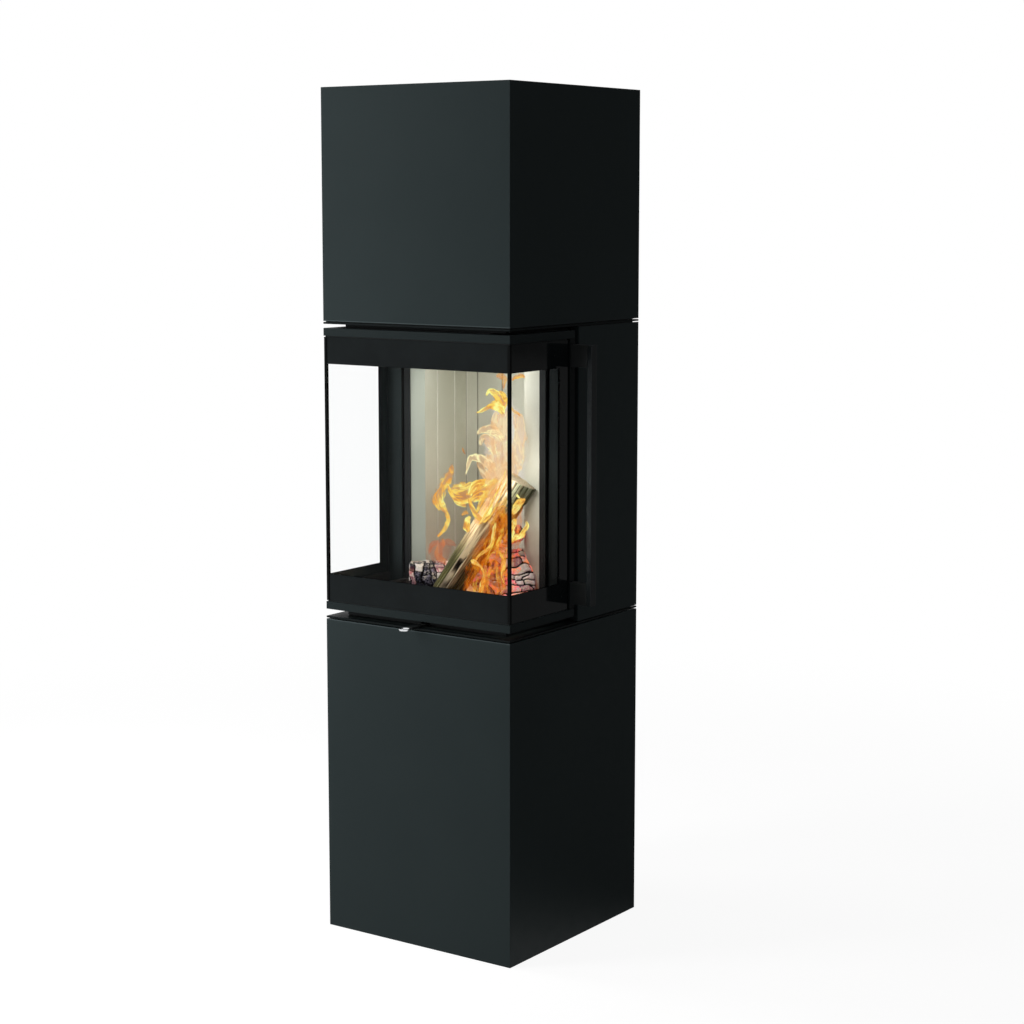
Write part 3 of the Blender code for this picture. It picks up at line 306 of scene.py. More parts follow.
def satin_steel():
    """Brushed dark steel, its fine lines running up the grip."""
    g = Graph("satin_steel_finish")
    lines = g.noise(900, 3, 0.6, g.stretched((1, 1, 0.02)))
    colour = g.mix(lines, (0.008, 0.011, 0.012), (0.016, 0.021, 0.023))
    return g.finish(g.principled(
        Base_Color=colour, Roughness=g.spread(lines, 0.3, 0.7, 0.34, 0.46), Specular_IOR_Level=0.2,
        Normal=g.bump(lines, 0.00005),
    ))


def polished_steel():
    """Bright chrome with hair-fine wear."""
    g = Graph("polished_steel_finish")
    wear = g.noise(260, 5, 0.7, g.stretched((1, 6, 1)))
    colour = g.mix(wear, (0.66, 0.68, 0.69), (0.80, 0.81, 0.82))
    return g.finish(g.principled(
        Base_Color=colour, Metallic=1.0, Roughness=g.spread(wear, 0.3, 0.8, 0.06, 0.16),
    ))


def bronze():
    """Sintered bearing bronze with open pores."""
    g = Graph("bronze_finish")
    pores = g.spread(g.cells(1500), 0.1, 0.3)
    colour = g.mix(pores, (0.12, 0.07, 0.03), (0.42, 0.26, 0.11))
    return g.finish(g.principled(
        Base_Color=colour, Metallic=1.0, Roughness=g.spread(pores, 0, 1, 0.55, 0.34),
        Normal=g.bump(pores, 0.0001),
    ))


def seal_black():
    """The black bonded joint at the corners of the glass, faintly wavy."""
    g = Graph("seal_black_finish")
    wave = g.noise(90, 3, 0.5, g.stretched((1, 1, 0.3)))
    colour = g.mix(wave, (0.0025, 0.003, 0.003), (0.005, 0.006, 0.006))
    return g.finish(g.principled(
        Base_Color=colour, Roughness=g.spread(wave, 0.3, 0.7, 0.5, 0.6), Specular_IOR_Level=0.05,
        Normal=g.bump(wave, 0.0002),
    ))


def gasket_rope():
    """Braided glass-fibre rope: two crossing sets of strands, with painted shade between them."""
    g = Graph("gasket_rope_finish")
    height = g.axis("Z")
    across = g.math("ADD", g.axis("X"), g.axis("Y"))
    left = g.math("SINE", g.math("MULTIPLY", g.math("ADD", height, across), 1900))
    right = g.math("SINE", g.math("MULTIPLY", g.math("SUBTRACT", height, across), 1900))
    weave = g.spread(g.math("MAXIMUM", left, right), -0.4, 1)
    fuzz = g.noise(2600, 2)
    # Painted shade between the strands, broken by a random fuzz.
    shade = g.math("MULTIPLY", weave, fuzz)
    colour = g.mix(shade, (0.014, 0.014, 0.014), (0.085, 0.083, 0.080))
    return g.finish(g.principled(
        Base_Color=colour, Roughness=0.9, Specular_IOR_Level=0.1, Normal=g.bump(weave, 0.0008),
    ))


def fireclay():
    """Pale vermiculite board: mottled, flecked, a little sooty in streaks, with painted shade and highlight on the
    groove flanks and painted shade on the left board's front end.
    """
    g = Graph("fireclay_finish")
    cloud = g.noise(9, 4, 0.6)
    fleck = g.noise(420, 3, 0.7)
    colour = g.mix(g.spread(cloud, 0.3, 0.7), (0.60, 0.615, 0.53), (0.68, 0.695, 0.615))
    colour = g.mix(g.spread(fleck, 0.35, 0.75, 0, 0.35), colour, (0.52, 0.51, 0.42))
    speck = g.spread(g.cells(520), 0.04, 0.16, 0.5, 0)
    colour = g.mix(speck, colour, (0.36, 0.33, 0.25))
    soot = g.spread(g.noise(7, 3, 0.6, g.stretched((1, 1, 0.25))), 0.62, 0.85, 0, 0.25)
    colour = g.mix(soot, colour, (0.32, 0.30, 0.26))
    back = g.math("GREATER_THAN", g.axis("Y"), LINING_BACK_FACE)
    on_side = g.math("GREATER_THAN", g.math("ABSOLUTE", g.axis("X")), LINING_SIDE_FACE)
    # Painted shade on one flank of each groove and a painted highlight on the other.
    for shift, reach, tone, share in GROOVE_SHADE_AND_HIGHLIGHT:
        line = 0.0
        for place in BACK_GROOVES:
            near = g.near(g.axis("X"), place + shift, reach)
            line = g.math("MAXIMUM", line, g.math("MULTIPLY", near, back))
        for place in SIDE_GROOVES:
            near = g.near(g.axis("Y"), place + shift, reach)
            line = g.math("MAXIMUM", line, g.math("MULTIPLY", near, on_side))
        colour = g.mix(g.math("MULTIPLY", line, share), colour, tone)
    # Painted shade: the left board's front end is darkened, in step with the cloud.
    front = g.math("LESS_THAN", g.axis("Y"), LINING_FRONT)
    front = g.math("MULTIPLY", front, g.math("LESS_THAN", g.axis("X"), 0))
    front = g.math("MULTIPLY", front, g.spread(cloud, 0.3, 0.7, 0.75, 1))
    colour = g.mix(front, colour, (0.44, 0.48, 0.41))
    return g.finish(g.principled(
        Base_Color=colour, Roughness=g.spread(fleck, 0.2, 0.8, 0.82, 0.95), Specular_IOR_Level=0.15,
        Normal=g.bump(fleck, 0.0003),
    ))


def pane_glass(name, rear_band, gloss_level):
    """A clear pane with glossy black bands printed along its edges."""
    g = Graph(name)
    height = g.axis("Z")
    band = g.math("LESS_THAN", height, PRINT_BOTTOM)
    band = g.math("MAXIMUM", band, g.math("GREATER_THAN", height, PRINT_TOP))
    if rear_band:
        band = g.math("MAXIMUM", band, g.math("GREATER_THAN", g.axis("Y"), PRINT_REAR))
    smear = g.noise(16, 4, 0.6)
    gloss = g.add("ShaderNodeBsdfGlossy")
    g.feed(gloss.inputs["Color"], (1, 1, 1))
    g.feed(gloss.inputs["Roughness"], g.spread(smear, 0.35, 0.75, 0.01, 0.05))
    grazing = g.add("ShaderNodeFresnel")
    grazing.inputs["IOR"].default_value = 1.08
    clear = g.blend(grazing.outputs[0], g.clear((0.993, 0.995, 0.995)), gloss.outputs[0])
    ink = g.mix(g.spread(smear, 0.3, 0.7), (0.0080, 0.0110, 0.0118), (0.0105, 0.0145, 0.0155))
    printed = g.principled(
        Base_Color=ink, Roughness=g.spread(smear, 0.3, 0.7, 0.05, 0.10), Specular_IOR_Level=gloss_level,
    )
    return g.finish(g.blend(band, clear, printed))


def split_wood():
    """Weathered split wood: cream grain along the log, olive bark, dark checks and a pale sawn end."""
    g = Graph("split_wood_finish")
    along = g.stretched((1, 1, 0.04))
    fibre = g.noise(270, 5, 0.70, along)
    band = g.noise(110, 3, 0.55, along, 0.4)
    colour = g.mix(g.spread(fibre, 0.36, 0.62), (0.24, 0.15, 0.07), (0.78, 0.66, 0.42))
    colour = g.mix(g.spread(band, 0.46, 0.64, 0, 0.7), colour, (0.88, 0.80, 0.60))
    colour = g.mix(g.spread(band, 0.30, 0.42, 0.6, 0), colour, (0.24, 0.13, 0.07))
    patch = g.noise(130, 4, 0.7, g.stretched((1, 1, 0.25)))
    moss = g.mix(g.spread(fibre, 0.42, 0.58), (0.022, 0.020, 0.007), (0.170, 0.165, 0.060))
    moss = g.mix(g.spread(patch, 0.40, 0.60, 0, 0.6), moss, (0.080, 0.074, 0.026))
    moss = g.mix(g.spread(fibre, 0.56, 0.70, 0, 0.8), moss, (0.50, 0.48, 0.26))
    pale = g.mix(g.spread(fibre, 0.38, 0.64), (0.085, 0.088, 0.035), (0.72, 0.72, 0.46))
    moss = g.mix(g.attribute("high"), moss, pale)
    bark = g.math("ADD", g.attribute("bark"), g.math("MULTIPLY", g.math("SUBTRACT", band, 0.5), 2.2))
    colour = g.mix(g.spread(bark, 0.42, 0.58), colour, moss)
    ring = g.mix(g.attribute("ring"), (0.42, 0.30, 0.17), (0.80, 0.70, 0.50))
    ring = g.mix(g.spread(patch, 0.4, 0.7, 0, 0.5), ring, (0.45, 0.47, 0.33))
    colour = g.mix(g.attribute("end"), colour, ring)
    tan = g.mix(g.spread(fibre, 0.36, 0.62), (0.26, 0.15, 0.06), (0.84, 0.71, 0.45))
    colour = g.mix(g.math("MULTIPLY", g.attribute("tan"), 0.8), colour, tan)
    colour = g.mix(g.attribute("check"), colour, (0.010, 0.007, 0.005))
    scorch = g.math("MULTIPLY", g.attribute("scorch"), g.spread(patch, 0.3, 0.6, 1, 0.3))
    colour = g.mix(scorch, colour, (0.030, 0.016, 0.010))
    relief = g.math("ADD", fibre, g.math("MULTIPLY", band, 1.5))
    return g.finish(g.principled(
        Base_Color=colour, Roughness=g.spread(fibre, 0.2, 0.8, 0.72, 0.9), Specular_IOR_Level=0.2,
        Normal=g.bump(relief, 0.0008),
    ))


def charred_wood():
    """Burnt blocks from black over lilac and rose to white ash, black cracks, and a red glow on the hot blocks."""
    g = Graph("charred_wood_finish")
    dust = g.noise(260, 5, 0.7)
    fine = g.noise(900, 3, 0.7)
    block = g.math("ADD", g.attribute("block"), g.math("MULTIPLY", g.math("SUBTRACT", dust, 0.5), 0.9))
    colour = g.mix(fine, (0.007, 0.008, 0.013), (0.040, 0.042, 0.065))
    colour = g.mix(g.spread(block, 0.20, 0.28), colour, g.mix(fine, (0.12, 0.11, 0.17), (0.38, 0.36, 0.48)))
    colour = g.mix(g.spread(block, 0.34, 0.44), colour, g.mix(fine, (0.36, 0.08, 0.13), (0.76, 0.38, 0.45)))
    ash = g.mix(g.spread(fine, 0.3, 0.7), (0.66, 0.60, 0.60), (0.98, 0.96, 0.94))
    colour = g.mix(g.spread(block, 0.47, 0.56), colour, ash)
    cream = g.math("MULTIPLY", g.attribute("ash"), g.spread(dust, 0.46, 0.58))
    colour = g.mix(cream, colour, g.mix(fine, (0.50, 0.44, 0.32), (0.92, 0.86, 0.70)))
    glowing = g.math("MULTIPLY", g.attribute("hot"), g.spread(g.noise(170, 4, 0.7), 0.36, 0.60))
    colour = g.mix(g.math("MULTIPLY", glowing, 0.75), colour, (0.42, 0.02, 0.05))
    crack = g.spread(g.attribute("crack"), 0.18, 0.60)
    colour = g.mix(crack, colour, (0.006, 0.005, 0.006))
    glowing = g.math("MULTIPLY", glowing, g.spread(crack, 0.0, 1.0, 1, 0.4))
    ember = g.mix(g.spread(g.noise(60, 2), 0.42, 0.58), (0.90, 0.09, 0.15), (1.0, 0.24, 0.03))
    return g.finish(g.principled(
        Base_Color=colour, Roughness=g.spread(fine, 0.2, 0.8, 0.8, 0.95), Specular_IOR_Level=0.1,
        Normal=g.bump(g.math("ADD", dust, fine), 0.0005),
        Emission_Color=ember, Emission_Strength=g.math("MULTIPLY", glowing, EMBER_GLOW),
    ))


def embers():
    """Loose coals: grey ash on dark lumps with orange heat between them."""
    g = Graph("embers_finish")
    gap = g.spread(g.cells(150, feature="DISTANCE_TO_EDGE"), 0.02, 0.16, 1, 0)
    dust = g.noise(260, 4, 0.7)
    colour = g.mix(g.spread(dust, 0.4, 0.65), (0.030, 0.024, 0.022), (0.42, 0.38, 0.36))
    heat = g.math("MULTIPLY", gap, g.spread(g.noise(60, 3), 0.35, 0.6))
    ember = g.mix(heat, (0.75, 0.04, 0.012), (1.0, 0.42, 0.06))
    return g.finish(g.principled(
        Base_Color=colour, Roughness=0.92, Specular_IOR_Level=0.1, Normal=g.bump(dust, 0.0008),
        Emission_Color=ember, Emission_Strength=g.math("MULTIPLY", heat, 1.6),
    ))


def flame(name, tones, density, rim_share, strand_share, grain):
    """Fire seen through: torn edges, bright here and there, and bright strands that run with the flow."""
    g = Graph(name)
    flow = g.add("ShaderNodeAttribute", attribute_name="flow").outputs["Vector"]
    along = g.attribute("along")
    sway = g.math("SUBTRACT", g.noise(1, 2, 0.5, g.stretched((0.045, 0.030, 1), flow)), 0.5)
    tear = g.math("SUBTRACT", g.noise(1, 4, 0.65, g.stretched((0.17, 0.085, 1), flow)), 0.5)
    away = g.math("ADD", g.attribute("side"), g.math("MULTIPLY", sway, 1.5))
    away = g.math("ABSOLUTE", g.math("ADD", away, g.math("MULTIPLY", tear, 1.5)))
    ends = g.math("MULTIPLY", g.spread(along, 0.0, 0.07), g.spread(along, 0.88, 1.0, 1, 0))
    border = g.spread(g.math("ABSOLUTE", g.attribute("side")), 0.84, 1.0, 1, 0)
    shape = g.math("MULTIPLY", g.math("MULTIPLY", g.spread(away, 0.55, 0.90, 1, 0), ends), border)
    lit = g.noise(1, 2, 0.5, g.stretched((0.07, 0.045, 1), flow))
    rim = g.math("MULTIPLY", g.spread(away, 0.36, 0.70), g.spread(lit, 0.40, 0.58, 0.15, rim_share))
    fold = g.noise(1, 3, 0.6, g.stretched((0.16 * grain, 0.038 * grain, 1), flow), 1.3)
    fold = g.math("ABSOLUTE", g.math("SUBTRACT", fold, 0.5))
    strand = g.math("MULTIPLY", g.spread(fold, 0.0, 0.12, 1, 0), strand_share)
    light = g.math("MAXIMUM", rim, strand)
    glow = g.spread(g.noise(1, 2, 0.5, g.stretched((0.05, 0.05, 1), flow)), 0.35, 0.65, 0.55, 1.15)
    power = g.attribute("power")
    heat = g.math("ADD", g.math("MULTIPLY", light, 0.72), 0.36)
    heat = g.math("MULTIPLY", heat, g.math("MULTIPLY", glow, power))
    heat = g.math("MULTIPLY", heat, g.spread(shape, 0.0, 0.6, 0.40, 1))
    colour = g.mix(g.spread(heat, 0.08, 0.34), tones[0], tones[1])
    colour = g.mix(g.spread(heat, 0.30, 0.62), colour, tones[2])
    colour = g.mix(g.spread(heat, 0.66, 0.98), colour, tones[3])
    cover = g.math("MULTIPLY", shape, g.math("ADD", g.math("MULTIPLY", light, 0.6), 0.4))
    cover = g.math("MULTIPLY", cover, g.math("MULTIPLY", power, density), clamp=True)
    return g.finish(g.blend(cover, g.clear((1, 1, 1)), g.glow(colour, 1.0)))


FINISHES = {
    "coated_steel": coated_steel("coated_steel_finish", 1.0),
    "dark_steel": dark_steel(),
    "cast_iron": cast_iron(),
    "plain_steel": plain_steel(),
    "satin_steel": satin_steel(),
    "polished_steel": polished_steel(),
    "bronze": bronze(),
    "seal_black": seal_black(),
    "gasket_rope": gasket_rope(),
    "fireclay": fireclay(),
    "split_wood": split_wood(),
    "charred_wood": charred_wood(),
    "embers": embers(),
    "glass": pane_glass("front_glass_finish", False, FRONT_GLOSS),
}
SIDE_GLASS = pane_glass("side_glass_finish", True, SIDE_GLOSS)
# Darker copies of the coat: painted shade on the door, and on the thin plates and the door's right post.
DOOR_SHADED_COAT = coated_steel("door_steel_painted_shade", DOOR_PAINTED_SHADE)
PLATE_SHADED_COAT = coated_steel("plate_steel_painted_shade", PLATE_PAINTED_SHADE)


def dress_nodes():
    """Gives every carried-over node its finish, by the slot it already has."""
    for name, node in NODES.items():
        for slot in node.material_slots:
            slot.material = FINISHES[slot.material.name.split(".")[0]]
        if name in ("glass_left", "glass_right"):
            node.material_slots[0].material = SIDE_GLASS
        # Painted shade: the door's rails and posts, then the thin plates and the door's right post, take the darker
        # copies.
        if name.startswith(("door_top", "door_bottom", "door_post")):
            node.material_slots[0].material = DOOR_SHADED_COAT
        if name in ("lower_plate", "upper_plate", "door_post_right"):
            node.material_slots[0].material = PLATE_SHADED_COAT


# The fire bed. Each log is worked up from its CAD solid, in a frame of its own with Z along the log.

LOG_VOXEL = 0.0016
LOG_SMOOTHING = 4
LOG_WAY = Vector((0.3, 1, 0.5))
NOISE_SEED = 11

# The cracks between burnt blocks: where a crack starts and ends beside its line, its depth, how far the lines are
# warped, and the share of the blocks that are joined with their neighbour.
CRACK_EDGES = (0.0003, 0.0017)
CRACK_DEPTH = 0.0022
ROW_WARP = 0.80
COLUMN_WARP = 0.85
JOINED_SHARE = 0.3

# The relief of the blocks and their dust, how high the coals' heat reaches, and which blocks glow.
BLOCK_RELIEF = 0.0012
DUST_RELIEF = 0.0005
COAL_HEAT = (0.055, 0.095)
GLOWING_BLOCKS = (0.40, 0.60)

# For each burnt log: how hot it is, how much paler its blocks are, how long and wide they are, and how far the log
# spreads to the right low down.
BURNT_LOGS = {
    "log_left": (0.10, 0.00, 0.0125, 0.0185, 0),
    "log_middle": (0.95, 0.00, 0.0140, 0.0160, 0),
    "log_right": (0.62, 0.28, 0.0120, 0.0180, 0.010),
    "log_cross": (0.90, 0.00, 0.0120, 0.0150, 0),
}
PICTURE_RIGHT = Vector((0.815, 0.579, 0))
SPREAD_ACROSS = (-0.005, 0.028)
SPREAD_STARTS = (0.014, 0.030)
SPREAD_ENDS = (0.045, 0.098)

# The leaning log: the picture's upward left, square to the log, and the depth of its checks and of its grain. Its
# top is a little thicker and longer than the solid's.
LOG_UPPER_EDGE = Vector((-0.685, -0.486, 0.540))
CHECK_DEPTH = 0.0035
GRAIN_RELIEF = 0.0011
TOP_GROWTH = 0.14
TOP_RISE = 0.009

COAL_VOXEL = 0.0015
COAL_SCALE = 150
COAL_DENT = 0.002


def step(value, low, high):
    """A smooth rise from 0 at low to 1 at high."""
    share = min(max((value - low) / (high - low), 0), 1)
    return share * share * (3 - 2 * share)


def log_matrix(node):
    """The place and turn of a log, from its own vertices: Z runs along it, towards the back or the right."""
    points = np.array([vert.co for vert in node.data.vertices])
    centre = points.mean(axis=0)
    spread = np.linalg.eigh(np.cov((points - centre).T))[1]
    axis = Vector(spread[:, 2])
    if axis.dot(LOG_WAY) < 0:
        axis = -axis
    return Matrix.Translation(Vector(centre)) @ axis.to_track_quat("Z", "Y").to_matrix().to_4x4()


def fine_mesh(name, node, matrix, voxel):
    """The solid of a node as an even fine mesh in the frame of the matrix."""
    mesh = node.data.copy()
    mesh.transform(matrix.inverted())
    rough = bpy.data.objects.new(name, mesh)
    bpy.context.scene.collection.objects.link(rough)
    remesh = rough.modifiers.new("even", "REMESH")
    remesh.mode = "VOXEL"
    remesh.voxel_size = voxel
    smooth = rough.modifiers.new("smooth", "SMOOTH")
    smooth.iterations = LOG_SMOOTHING
    fine = bpy.data.meshes.new_from_object(rough.evaluated_get(bpy.context.evaluated_depsgraph_get()))
    bpy.data.objects.remove(rough)
    piece = bpy.data.objects.new(name, fine)
    bpy.context.scene.collection.objects.link(piece)
    piece.matrix_world = matrix
    fine.materials.clear()
    for polygon in fine.polygons:
        polygon.use_smooth = True
    return piece


def store(mesh, name, values):
    """Keeps a value for each vertex, for the mesh's material to read."""
    mesh.attributes.new(name, "FLOAT", "POINT").data.foreach_set("value", values)


def chance(*cell):
    """A repeatable number from 0 to 1 for a cell."""
    value = math.sin(sum(part * factor for part, factor in zip(cell, (127.1, 311.7, 74.7)))) * 43758.5
    return value - math.floor(value)


def burn(piece, seed, hotness, paleness, length, width, spread):
    """Cuts the cracks between rings of burnt blocks and writes where ash and heat lie."""
    mesh = piece.data
    turn = piece.matrix_world.to_3x3()
    values = {name: [] for name in ("crack", "block", "ash", "hot")}
    normals = [vert.normal.copy() for vert in mesh.vertices]
    shift = Vector((seed * 7.3, seed * 3.1, seed * 5.7))
    spread_way = turn.inverted() @ PICTURE_RIGHT
    low = min((piece.matrix_world @ vert.co).z for vert in mesh.vertices)
    girth = 2 * math.pi * max(math.hypot(vert.co.x, vert.co.y) for vert in mesh.vertices)
    columns = round(girth / width)
    for vert, normal in zip(mesh.vertices, normals):
        point = vert.co
        wobble = noise.noise_vector(point * 42 + shift)
        row_place = point.z / length + ROW_WARP * wobble.z
        row = math.floor(row_place)
        around = columns * math.atan2(point.x, point.y) / (2 * math.pi)
        turn_place = around + COLUMN_WARP * wobble.x + chance(row, seed, 1)
        column = math.floor(turn_place)
        row_gap = length * min(row_place - row, row + 1 - row_place)
        edge = round(turn_place)
        joined = chance(row, edge % columns, seed + 9) < JOINED_SHARE
        column_gap = width * (abs(turn_place - edge) + joined)
        crack = 1 - step(min(row_gap, column_gap), *CRACK_EDGES)
        block = min(chance(row, column % columns, seed) + paleness, 1)
        dust = noise.fractal(point * 95 + shift, 0.8, 2.1, 3)
        up = (turn @ normal).z
        vert.co = point - normal * (CRACK_DEPTH * crack + BLOCK_RELIEF * (1 - block) - DUST_RELIEF * dust)
        height = (piece.matrix_world @ point).z - low
        near_coals = 1 - step(height + 0.012 * noise.noise(point * 40), *COAL_HEAT)
        hot = step(noise.noise(point * 26 + shift) + 1.5 * hotness - 0.75 + 0.8 * near_coals, 0.1, 0.9)
        chosen = step(chance(row, column % columns, seed + 31), *GLOWING_BLOCKS)
        values["crack"].append(crack)
        values["block"].append(block)
        values["ash"].append(step(0.35 * up + 0.5 * dust + 0.4 * block, 0.1, 0.6))
        values["hot"].append(hot * (1 - crack) * (0.12 + 0.88 * chosen))
        across = (turn @ point).dot(PICTURE_RIGHT)
        low_down = step(height, *SPREAD_STARTS) * (1 - step(height, *SPREAD_ENDS))
        vert.co += spread_way * (spread * step(across, *SPREAD_ACROSS) * low_down)
    for name, row in values.items():
        store(mesh, name, row)


def weather(piece):
    """Splits and checks along the leaning log, and where its bark, sawn ends and scorched foot are."""
    mesh = piece.data
    turn = piece.matrix_world.to_3x3()
    values = {name: [] for name in ("bark", "check", "scorch", "tan", "high", "end", "ring")}
    normals = [vert.normal.copy() for vert in mesh.vertices]
    low = min(vert.co.z for vert in mesh.vertices)
    high = max(vert.co.z for vert in mesh.vertices)
    for vert, normal in zip(mesh.vertices, normals):
        point = vert.co
        share = (point.z - low) / (high - low)
        edge = (turn @ normal).dot(LOG_UPPER_EDGE)
        fibre = Vector((point.x * 150, point.y * 150, point.z * 9))
        line = abs(noise.noise(fibre * 0.42 + Vector((3, 1, 0))))
        check = (1 - step(line, 0.008, 0.030)) * step(noise.noise(point * 16), -0.1, 0.25)
        split = abs(edge + 0.12 + 0.16 * noise.noise(Vector((0, 5, point.z * 24))))
        split_part = step(share, 0.02, 0.1) * (1 - step(share, 0.5, 0.62))
        check = max(check, (1 - step(split, 0.01, 0.055)) * split_part)
        bark_low = step(edge, 0.22, 0.42) * (1 - step(share, 0.42, 0.60))
        bark_under = (1 - step(edge, -0.62, -0.35)) * 0.8
        bark_high = step(share, 0.56, 0.70) * (1 - step(edge, 0.45, 0.7)) * 0.52
        sawn = step(abs(normal.z), 0.75, 0.92)
        radius = math.hypot(point.x, point.y)
        values["bark"].append(max(bark_low, bark_under, bark_high) + 0.22 * noise.noise(point * 30))
        values["check"].append(check * (1 - 0.7 * sawn))
        values["scorch"].append(1 - step(point.z - low + 0.02 * noise.noise(point * 45), 0.0, 0.03))
        values["tan"].append(step(share, 0.30, 0.55) * step(edge, -0.3, 0.1) * (1 - sawn))
        values["high"].append(step(share, 0.52, 0.66))
        values["end"].append(sawn)
        values["ring"].append(0.5 + 0.5 * math.sin(radius * 1500 + 2 * noise.noise(point * 50)))
        point = point - normal * (CHECK_DEPTH * check * (1 - sawn) - GRAIN_RELIEF * noise.noise(fibre))
        rise = step(share, 0.3, 1)
        growth = 1 + TOP_GROWTH * rise
        vert.co = Vector((point.x * growth, point.y * growth, point.z + TOP_RISE * rise))
    for name, row in values.items():
        store(mesh, name, row)


def make_fire_bed():
    """The logs and the coals between them, in place of their plain solids."""
    noise.seed_set(NOISE_SEED)    # noise_vector differs from run to run without it
    for seed, (name, settings) in enumerate(BURNT_LOGS.items()):
        node = NODES[name]
        piece = fine_mesh("burnt_" + name, node, log_matrix(node), LOG_VOXEL)
        burn(piece, seed, *settings)
        piece.data.materials.append(FINISHES["charred_wood"])
        carry(piece, "charred_wood", name)
    node = NODES["log_leaning"]
    piece = fine_mesh("split_log_leaning", node, log_matrix(node), LOG_VOXEL)
    weather(piece)
    piece.data.materials.append(FINISHES["split_wood"])
    carry(piece, "split_wood", "log_leaning")
    node = NODES["ember_bed"]
    centre = Matrix.Translation(sum(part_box("ember_bed"), Vector()) / 2)
    piece = fine_mesh("coals", node, centre, COAL_VOXEL)
    for vert in piece.data.vertices:
        far = noise.voronoi(vert.co * COAL_SCALE)[0]
        if vert.normal.z > 0:
            vert.co.z -= COAL_DENT * step(far[0], 0.1, 0.7)
    piece.data.materials.append(FINISHES["embers"])
    carry(piece, "embers", "ember_bed")


def carry(piece, slot, *nodes):
    """The piece rides on the fixed body and stands for these nodes; slot is not used."""
    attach(piece, FIXED_BODY)
    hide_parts(*nodes)


# The flames stand about an upright plane that faces the photograph's camera: a point of it, its turn, and its ways
# to the right and towards the camera.

FLAME_ORIGIN = Vector((0.0475, -0.1035, 0))
FLAME_YAW = math.radians(35.4)
FLAME_RIGHT = Vector((math.cos(FLAME_YAW), math.sin(FLAME_YAW), 0))
FLAME_NEAR = Vector((math.sin(FLAME_YAW), -math.cos(FLAME_YAW), 0))

# Each flame is a ribbon: its depth in millimetres towards the camera, its strength, and its points. A point is its
# place in the photograph's fire, right and down, and half the ribbon's width there. The unit is a pixel of the part
# of the photograph that starts at FIRE_COLUMN and FIRE_LINE, enlarged FIRE_ZOOM times. FIRE_PIXEL is that pixel in
# millimetres.

PICTURE = 1024
FIRE_COLUMN = 400
FIRE_LINE = 370
FIRE_ZOOM = 5.806
FIRE_PIXEL = 0.305
RIBBON_STEPS = 40
RIBBON_COLUMNS = 8
RIBBON_BOW = 0.35
RIBBON_SWAY = 3
RIBBON_WAVE = 0.05
WIDTH_SHARE = 1.3
FLOW_SHIFT = 13.7

